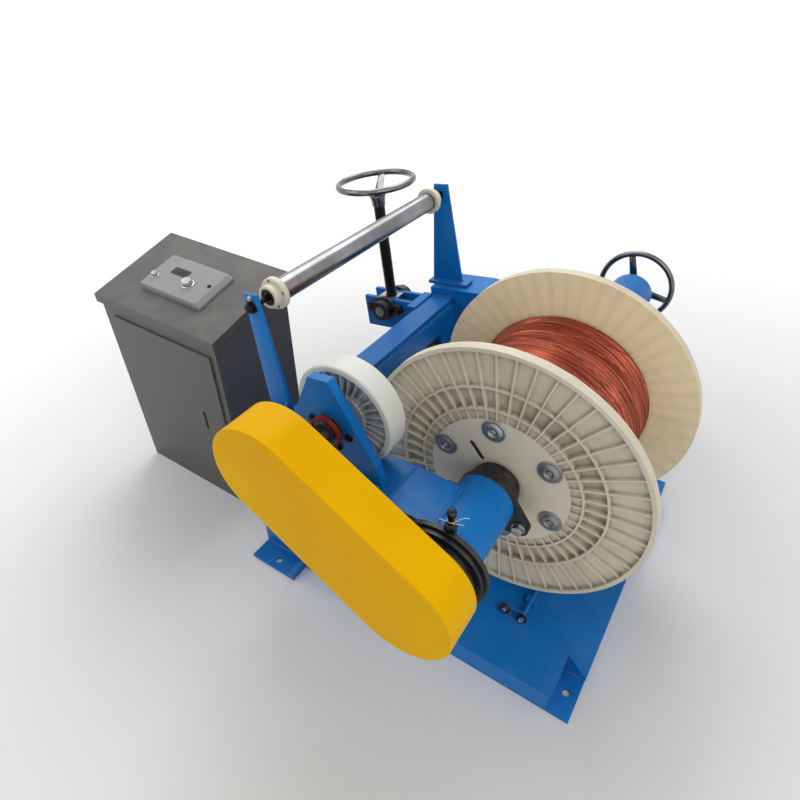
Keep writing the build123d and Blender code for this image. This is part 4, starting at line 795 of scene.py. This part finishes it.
END_SOCKET = [(END_BOSS_R, END_FLANGE_DEPTH), (END_BOSS_R, END_FACE - 0.0015),
              (END_BOSS_R - 0.0015, END_FACE), (BEARING_R + 0.0008, END_FACE),
              (BEARING_R, END_FACE - 0.001), (BEARING_R, END_FACE - 0.01),
              (END_BORE, END_FACE - 0.01), (END_BORE, 0.0002)]
BEARING = [(BEARING_SKIN, -0.0095), (BEARING_SKIN, -0.002), (BEARING_R - 0.002, -0.0012),
           (0.0145, -0.0012), (0.014, -0.0026), (0.0105, -0.0026), (0.01, -0.0012), (0.0068, -0.0012),
           (0.0062, -0.0018), (0.0062, -0.0095)]
# Black disc of painted shade that sits at the bottom of a hole
HOLE_SHADE_DISC = [(0, 0), (HOLE_R * 0.97, 0), (HOLE_R * 0.97, 0.004), (0, 0.0036)]
for end_y, outward in ROLLER_ENDS:
    place = at(Vector((ROLLER.x, end_y, ROLLER.z)), Y_AXIS * outward)
    turned(ends, place, END_RIM)
    drilled_ring(ends, place, END_BOSS_R, END_FLAT_R, END_FLANGE_DEPTH, HOLE_ANGLES, HOLE_R, HOLE_DEPTH)
    turned(ends, place, END_SOCKET)
    turned(bearings_and_hole_shade, place, [(radius, END_FACE + height) for radius, height in BEARING])
    # Painted shade: a black disc at the bottom of each hole
    for angle in HOLE_ANGLES:
        middle = (END_BOSS_R + END_FLAT_R) / 2
        spot = Vector((middle * cos(angle), middle * sin(angle), END_FLANGE_DEPTH - 0.0058))
        turned(bearings_and_hole_shade, place @ Matrix.Translation(spot), HOLE_SHADE_DISC, HOLE_STEPS)
bmesh.ops.remove_doubles(ends, verts=ends.verts, dist=0.00001)
piece("guide_roller_polished_tube", tube, "guide_roller", roller_steel,
      ["guide_roller_tube"])
piece("guide_roller_moulded_ends", ends, "guide_roller", nylon, ["guide_roller_flanges"])
piece("guide_roller_bearings_and_hole_shade", bearings_and_hole_shade, "guide_roller", bolt_black)

# Roller posts: tapered plates on their feet, each with a gusset and its welds; each is given by
# its middle's y, which way is out, its u range at the top and at the foot, and its gusset's u
POSTS = ((-0.357, -1, (-0.01, 0.024), (-0.025, 0.039), 0.033),
         (0.383, 1, (-0.013, 0.03), (-0.041, 0.057), 0.027))
POST_TOP = 0.444
FOOT_LOW, FOOT_TOP = 0.152, 0.162
FOOT_U = (-0.05, 0.08)
POST_HALF = 0.004
AXLE_U, AXLE_V = 0.005, 0.417
GUSSET = [(0, 0), (0.036, 0), (0, 0.036)]
SEAM_RISE = 0.0005
posts, post_bolts, small_bolts, frame_welds = (bmesh.new() for _ in range(4))
for face_y, outward, (top_low, top_high), (low, high), gusset_u in POSTS:
    outer_y, inner_y = face_y + outward * POST_HALF, face_y - outward * POST_HALF
    outline = [(low, FOOT_TOP), (high, FOOT_TOP), (top_high, POST_TOP), (top_low, POST_TOP)]
    prism(posts, side_frame(0, face_y + POST_HALF, 0), outline, 2 * POST_HALF)
    prism(posts, side_frame(0, face_y + 0.02, 0), box_outline(*FOOT_U, FOOT_LOW, FOOT_TOP), 0.04)
    root = swing(gusset_u, outer_y, FOOT_TOP)
    prism(posts, frame_at(root, Y_AXIS * outward, ARM_V), GUSSET, 0.006, 0.0008)
    for face in (-1, 1):
        seam_y = face_y + face * (POST_HALF + SEAM_RISE)
        seam = [swing(u, seam_y, FOOT_TOP + SEAM_RISE) for u in (low, high)]
        weld(frame_welds, seam, 0.0028)
    bolt(post_bolts, at(swing(AXLE_U, outer_y, AXLE_V), Y_AXIS * outward), 0.013, 0.003)
    hex_head(post_bolts, at(swing(AXLE_U, inner_y, AXLE_V), -Y_AXIS * outward), 0.019, 0.009)
    bolt(small_bolts, at(swing(0.007, outer_y, 0.4365), Y_AXIS * outward), 0.006)
piece("roller_posts_welded", posts, "swing_frame", blue, ["roller_posts"])
piece("roller_axle_nuts", post_bolts, "swing_frame", bolt_black)
piece("roller_post_bolts", small_bolts, "swing_frame", bolt_zinc)

# Welds of the swing frame: each path is given by its ends as (u, y, v)
ARM_INNER, ARM_OUTER = 0.344, 0.452
TUBE_WELD_R = 0.0638
WIDE_BEAD = 0.0035
ARM_SEAMS = [
    ((-0.024, 0.3392, 0.1275), (0.0455, 0.3392, 0.1275), BEAD),
    ((0.0542, 0.3392, 0.108), (0.0542, 0.3392, -0.016), BEAD),
    ((0.4433, ARM_INNER, 0.0948), (0.4433, ARM_OUTER, 0.0948), WIDE_BEAD),
]
frame_seams = [((u, side * y, v), (u2, side * y2, v2), bead)
               for side in (-1, 1) for (u, y, v), (u2, y2, v2), bead in ARM_SEAMS]
frame_seams += [((0.047, -0.33, 0.1112), (0.047, 0.33, 0.1112), BEAD)]
frame_seams += [((0.34, -ARM_INNER, 0.115), (0.34, -ARM_OUTER, 0.115), WIDE_BEAD)]
frame_seams += [((0.158, y, 0.1156), (0.312, y, 0.1156), 0.0046) for y in (-0.4286, -0.4074)]
frame_seams += [((-0.0256, y, 0.124), (-0.0256, y, 0.06), BEAD) for y in (0.2695, 0.2825, 0.3275)]
for start, end, bead in frame_seams:
    weld(frame_welds, [swing(*start), swing(*end)], bead)
for side in (-1, 1):
    tube_end = frame_at(swing(0.4633, side * 0.4555, 0.0338), ARM_U, ARM_V)
    weld(frame_welds, arc(tube_end, TUBE_WELD_R, 108, 245))
piece("swing_frame_welds", frame_welds, "swing_frame", blue)

# Welds of the base: round the stands and stop blocks, and along the feet and corner pockets
DECK_SEAM_Z = 0.0632
FOOT_SEAM_Z = 0.0085
FOOT_SEAMS = ((-0.066, 0.4024, 0.052, 0.4024, WIDE_BEAD), (0.0535, 0.404, 0.0535, 0.458, BEAD),
              (0.7415, 0.308, 0.7415, 0.41, BEAD), (0.744, 0.3062, 0.79, 0.3062, BEAD))


def box_seam(x, y, half_x, half_y, z):
    """Corners of a seam once round a rectangle."""
    x0, x1, y0, y1 = x - half_x, x + half_x, y - half_y, y + half_y
    return [(x0, y0, z), (x1, y0, z), (x1, y1, z), (x0, y1, z), (x0, y0, z)]


base_welds = bmesh.new()
for side in (-1, 1):
    for half_x, half_y, z in ((0.0715, 0.0475, 0.0634), (0.0485, 0.0355, 0.0734)):
        weld(base_welds, box_seam(PIVOT.x, side * STAND_Y, half_x, half_y, z), WIDE_BEAD)
    for x0, y0, x1, y1, bead in FOOT_SEAMS:
        weld(base_welds, [(x0, side * y0, FOOT_SEAM_Z), (x1, side * y1, FOOT_SEAM_Z)], bead)
for stop_y in (-0.226, 0.144):
    weld(base_welds, box_seam(0.62, stop_y, 0.012, 0.01, DECK_SEAM_Z), 0.002)
weld(base_welds, [(0.0704, -0.39, DECK_SEAM_Z), (0.0704, 0.39, DECK_SEAM_Z)])
piece("base_welds", base_welds, "base", blue)

# Grease fitting: hexagon foot, neck and ball nipple, with the loose ends of a white tie round it
GREASE = Vector((SPINDLE.x + 0.012, -0.47, 0.512))
NIPPLE = [(0.009, 0.017), (0.009, 0.0195), (0.0066, 0.021), (0.0066, 0.04), (0.0085, 0.042),
          (0.0088, 0.05), (0.006, 0.0535), (0.004, 0.054), (0.004, 0.0555), (0.0052, 0.0566),
          (0.003, 0.0578), (0, 0.058)]
fitting = bmesh.new()
hex_head(fitting, at(GREASE), 0.0205, 0.018)
turned(fitting, at(GREASE), NIPPLE, 32)
piece("grease_nipple", fitting, "swing_frame", bolt_black, ["grease_fitting"])
TIE_R = 0.0007
TIE_ENDS = (((0.004, -0.006, 0.03), (0.013, 0.001, 0.037), (0.02, 0.008, 0.04), (0.028, 0.012, 0.039)),
            ((0.005, -0.006, 0.03), (0.014, -0.003, 0.031), (0.024, 0.001, 0.03)),
            ((-0.005, -0.006, 0.03), (-0.012, -0.007, 0.029), (-0.019, -0.009, 0.031)))
tie_paths = [arc(at(GREASE + Z_AXIS * 0.03), 0.0072, -20, 330, 20)]
tie_paths += [[GREASE + Vector(point) for point in points] for points in TIE_ENDS]
ties = bmesh.new()
for path in tie_paths:
    sweep(ties, path, [TIE_R] * len(path), 6)
piece("grease_nipple_tie", ties, "swing_frame", white)

# Handwheels: round rim, flat spokes with eased edges and a tapered hub
SPOKES = 3
SPOKE_WIDTH = 0.024
SPOKE_THICKNESS = 0.005
SPOKE_ROOT = 0.012
RIM_STEPS = 24
RIM_TUBE_R = 0.0085


def handwheel(bm, place, rim_r, dish, hub, first_spoke):
    """Wheel whose rim lies at height 0 of its place; hub is its profile, and dish its hub's drop."""
    angles = [2 * pi * step / RIM_STEPS for step in range(RIM_STEPS + 1)]
    turned(bm, place, [(rim_r + RIM_TUBE_R * cos(a), RIM_TUBE_R * sin(a)) for a in angles], 112)
    turned(bm, place, hub)
    for number in range(SPOKES):
        angle = radians(first_spoke + 360 / SPOKES * number)
        out = Vector((cos(angle), sin(angle), 0))
        start, end = out * SPOKE_ROOT - Z_AXIS * dish, out * (rim_r - 0.25 * RIM_TUBE_R)
        along, length = (end - start).normalized(), (end - start).length
        spoke = frame_at(start, along, Z_AXIS.cross(out)) @ Matrix.Translation((0, 0, -SPOKE_THICKNESS / 2))
        root, tip = SPOKE_WIDTH / 2, 0.4 * SPOKE_WIDTH
        sides = [(0, -root), (length, -tip), (length, tip), (0, root)]
        prism(bm, place @ spoke, sides, SPOKE_THICKNESS, 0.0014)
    bmesh.ops.remove_doubles(bm, verts=bm.verts, dist=0.000005)


LIFT_RIM_HEIGHT = FOOT_TO_NUT + 0.368
LIFT_HUB = [(0.0162, -0.066), (0.0185, -0.066), (0.0192, -0.064), (0.02, -0.05), (0.0225, -0.04),
            (0.0225, -0.0368), (0.021, -0.0352), (0.0162, -0.0352)]
lift_wheel = bmesh.new()
lift_place = frame_at(SCREW_FOOT + ARM_V * LIFT_RIM_HEIGHT, ARM_U, Y_AXIS)
handwheel(lift_wheel, lift_place, rim_r=0.1055, dish=0.036, hub=LIFT_HUB, first_spoke=115)
piece("lift_handwheel_turned", lift_wheel, "lift_screw", chrome, ["lift_handwheel"])

FAR_RIM_Y = 0.773
FAR_HUB = [(0, -0.254), (0.011, -0.254), (0.0118, -0.252), (0.0118, -0.052), (0.0172, -0.052),
           (0.0182, -0.05), (0.0192, -0.02), (0.0212, -0.004), (0.0212, 0.01), (0.02, 0.0128),
           (0.012, 0.0132), (0.0105, 0.0118), (0, 0.0118)]
far_wheel = bmesh.new()
far_place = frame_at(Vector((SPINDLE.x, FAR_RIM_Y, SPINDLE.z)), Z_AXIS, X_AXIS)
handwheel(far_wheel, far_place, rim_r=0.1085, dish=0.012, hub=FAR_HUB, first_spoke=-19)
piece("far_handwheel_turned", far_wheel, "far_feed", chrome, ["far_handwheel"])

# Lift handwheel's nut and washer, on the end of the screw
WASHER_TOP = 0.0028
FLAT_WASHER = [(0, 0), (0.0185, 0), (0.0185, 0.0022), (0.0175, WASHER_TOP), (0, WASHER_TOP)]
screw_end = at(SCREW_FOOT + ARM_V * SCREW_TOP, ARM_V)
wheel_nut = bmesh.new()
turned(wheel_nut, screw_end, FLAT_WASHER, 32)
hex_head(wheel_nut, screw_end @ Matrix.Translation((0, 0, WASHER_TOP)), 0.024, 0.011)
piece("lift_wheel_nut", wheel_nut, "lift_screw", bolt_black)

# Stop bar's end: a black nut with a bright face, and the bright cap on the small roller beside it
STOP_Z = 0.076
STOP_NUT = [(0, 0), (0.0105, 0), (0.0115, 0.001), (0.0115, 0.008), (0.0105, 0.009), (0.0075, 0.009)]
STOP_NUT_FACE = [(0.0076, 0.0085), (0.0074, 0.01), (0.005, 0.0104), (0.0046, 0.0094), (0, 0.0094)]
ROLLER_CAP = [(0.0065, 0.0001), (0.0062, 0.0012), (0.0045, 0.0016), (0, 0.0016)]
stop_nut, stop_faces = bmesh.new(), bmesh.new()
nut_place = at(Vector((0.62, -0.281, STOP_Z)), -Y_AXIS)
turned(stop_nut, nut_place, STOP_NUT, 32)
turned(stop_faces, nut_place, STOP_NUT_FACE, 32)
turned(stop_faces, at(Vector((0.575, -0.288, STOP_Z)), -Y_AXIS), ROLLER_CAP, 24)
piece("stop_bar_nut", stop_nut, "base", bolt_black)
piece("stop_bar_faces", stop_faces, "base", bright_steel)

# Control panel: bevelled cover on the sloping lid, with a display, two knobs and a lock
LID_LOW = Vector((-0.612, -0.338, 0.575))
LID_SLOPE = atan2(0.063, 0.253)
LID_UP = Vector((0, cos(LID_SLOPE), sin(LID_SLOPE)))
lid_place = frame_at(LID_LOW, X_AXIS, LID_UP)
PANEL_TOP = 0.016
COVER = [
    (rounded_box(0.096, 0.313, 0.062, 0.19, 0.006), 0.0002),
    (rounded_box(0.0965, 0.312, 0.0625, 0.1895, 0.006), 0.006),
    (rounded_box(0.099, 0.3025, 0.065, 0.187, 0.005), PANEL_TOP - 0.0008),
    (rounded_box(0.0998, 0.3017, 0.0658, 0.1862, 0.005), PANEL_TOP),
]
cover = bmesh.new()
stacked(cover, lid_place, COVER)
piece("panel_cover", cover, "base", panel_coat, ["control_panel"])
GLASS = rounded_box(0.1495, 0.2045, 0.1275, 0.1515, 0.002)
DISPLAY = [(GLASS, PANEL_TOP - 0.001), (GLASS, PANEL_TOP + 0.0012),
           (rounded_box(0.151, 0.203, 0.129, 0.15, 0.0015), PANEL_TOP + 0.0016)]
window = bmesh.new()
stacked(window, lid_place, DISPLAY)
piece("panel_display", window, "base", black_gloss)

KNOBS = ((0.1166, 0.1033, 0.008, 0.01), (0.2286, 0.1129, 0.013, 0.014))
KNOB_STEPS = 72
FLUTE = 0.955
knobs = bmesh.new()
for x, y, radius, height in KNOBS:
    seat = lid_place @ Matrix.Translation((x, y, PANEL_TOP))
    skirt, neck = 1.25 * radius, 1.1 * radius
    turned(knobs, seat, [(skirt, 0), (skirt, 0.001), (neck, 0.0016), (neck, 0.0004)], 40)
    grip = []
    for rise, reach in ((0.1, 1.0), (0.82, 0.93)):
        angles = [2 * pi * step / KNOB_STEPS for step in range(KNOB_STEPS)]
        depths = [radius * reach * (FLUTE if step % 3 == 0 else 1.0) for step in range(KNOB_STEPS)]
        spots = [Vector((r * cos(a), r * sin(a), height * rise)) for r, a in zip(depths, angles)]
        grip.append([knobs.verts.new(seat @ spot) for spot in spots])
    bridge(knobs, *grip)
    knobs.faces.new(grip[0])
    crown = ((0.945, 0.81), (0.86, 1.0), (0.62, 1.02), (0.58, 0.96), (0, 0.95))
    turned(knobs, seat, [(reach * radius, rise * height) for reach, rise in crown], 40)
    pointer = seat @ Matrix.Translation((0, 0.6 * radius, 1.0 * height))
    prism(knobs, pointer, box_outline(-0.0006, 0.0006, -0.2 * radius, 0.22 * radius), 0.0006, 0.0001)
piece("panel_fluted_knobs", knobs, "base", bright_steel, ["panel_knobs"])

LOCK = [(0.0052, -0.0002), (0.0052, 0.0012), (0.0044, 0.0018), (0.003, 0.0018), (0.0028, 0.0006),
        (0, 0.0006)]
lock = bmesh.new()
turned(lock, lid_place @ Matrix.Translation((0.289, 0.1291, PANEL_TOP)), LOCK, 32)
piece("panel_lock", lock, "base", bolt_black)

# Door: black plate behind its finger slot, painted shade of a deep finger recess
door_slot_shade = bmesh.new()
slot_place = frame_at(Vector((-0.295, -0.3379, 0.29)), X_AXIS, Z_AXIS)
prism(door_slot_shade, slot_place, rounded_box(-0.0055, 0.0055, -0.032, 0.032, 0.0052), 0.0012, 0.0001)
piece("door_slot_painted_shade", door_slot_shade, "base", black_gloss)

# Floor, lights and camera
FLOOR_COLOUR = (0.8, 0.8, 0.79)
FLOOR_SIZE = 90
# Distances from the middle where the floor starts and stops brightening, and its glow there
FLOOR_LIFT = (0.8, 3.5, 0.0, 0.66)
AMBIENT = 0.45


def floor_material():
    g = Graph("studio_floor")
    rays = g.add("ShaderNodeLightPath").outputs
    mirrored = g.sum("MAXIMUM", rays["Is Glossy Ray"], rays["Is Transmission Ray"])
    seen = g.sum("MAXIMUM", rays["Is Camera Ray"], mirrored)
    away = g.add("ShaderNodeVectorMath", {0: g.place}, operation="LENGTH").outputs["Value"]
    lift = g.sum("MULTIPLY", seen, g.band(away, *FLOOR_LIFT))
    tone = g.band(g.noise(2.0, 3.0), 0.3, 0.7, 0.985, 1.0)
    g.set(Base_Color=g.mix(tone, (0.77, 0.77, 0.76), FLOOR_COLOUR), Roughness=0.85)
    g.set(Specular_IOR_Level=0.15, Emission_Color=(1.0, 1.0, 1.0, 1.0), Emission_Strength=lift)
    return g.material


bpy.ops.mesh.primitive_plane_add(size=FLOOR_SIZE, location=(0.3, 0, 0))
studio_floor = bpy.context.object
studio_floor.name = "studio_floor"
studio_floor.data.materials.append(floor_material())

# World: plain white where it is seen or mirrored, and AMBIENT as light
world = bpy.data.worlds.new("studio")
bpy.context.scene.world = world
world.use_nodes = True
tree = world.node_tree
rays = tree.nodes.new("ShaderNodeLightPath").outputs
seen = rays["Is Camera Ray"]
for other in ("Is Transmission Ray", "Is Glossy Ray"):
    either = tree.nodes.new("ShaderNodeMath")
    either.operation = "MAXIMUM"
    tree.links.new(seen, either.inputs[0])
    tree.links.new(rays[other], either.inputs[1])
    seen = either.outputs[0]
strength = tree.nodes.new("ShaderNodeMapRange")
tree.links.new(seen, strength.inputs[0])
strength.inputs[3].default_value = AMBIENT
strength.inputs[4].default_value = 1.0
sky = tree.nodes["Background"].inputs
tree.links.new(strength.outputs[0], sky["Strength"])
sky["Color"].default_value = (1, 1, 1, 1)


def softbox(name, place, aim, size, power):
    """Large square lamp that faces a point."""
    lamp = bpy.data.lights.new(name, "AREA")
    lamp.shape = "SQUARE"
    lamp.size = size
    lamp.energy = power
    holder = bpy.data.objects.new(name, lamp)
    holder.location = place
    holder.rotation_euler = (Vector(aim) - Vector(place)).to_track_quat("-Z", "Y").to_euler()
    bpy.context.scene.collection.objects.link(holder)


softbox("key_softbox", (-0.9, 1.6, 3.0), (0.2, 0, 0.4), 2.2, 57)
softbox("fill_softbox", (2.6, -1.6, 2.2), (0.2, 0, 0.4), 2.4, 30)
softbox("rear_softbox", (-2.4, -1.4, 2.4), (0.1, 0, 0.4), 1.8, 18)

CAMERA_PLACE = (0.7765, -1.0531, 1.3194)
CAMERA_YAW = 0.5721
CAMERA_PITCH = 0.6941
CAMERA_ROLL = 0.0049
CAMERA_LENS = 26.37
CAMERA_SHIFT_Y = 0.00875
camera_data = bpy.data.cameras.new("camera")
camera_data.sensor_width = 36.0
camera_data.lens = CAMERA_LENS
camera_data.shift_y = CAMERA_SHIFT_Y
camera = bpy.data.objects.new("camera", camera_data)
turn = Matrix.Rotation(CAMERA_YAW, 4, "Z") @ Matrix.Rotation(pi / 2 - CAMERA_PITCH, 4, "X")
camera.matrix_world = Matrix.Translation(CAMERA_PLACE) @ turn @ Matrix.Rotation(CAMERA_ROLL, 4, "Z")
bpy.context.scene.collection.objects.link(camera)
bpy.context.scene.camera = camera
bpy.context.scene.view_settings.view_transform = "Standard"
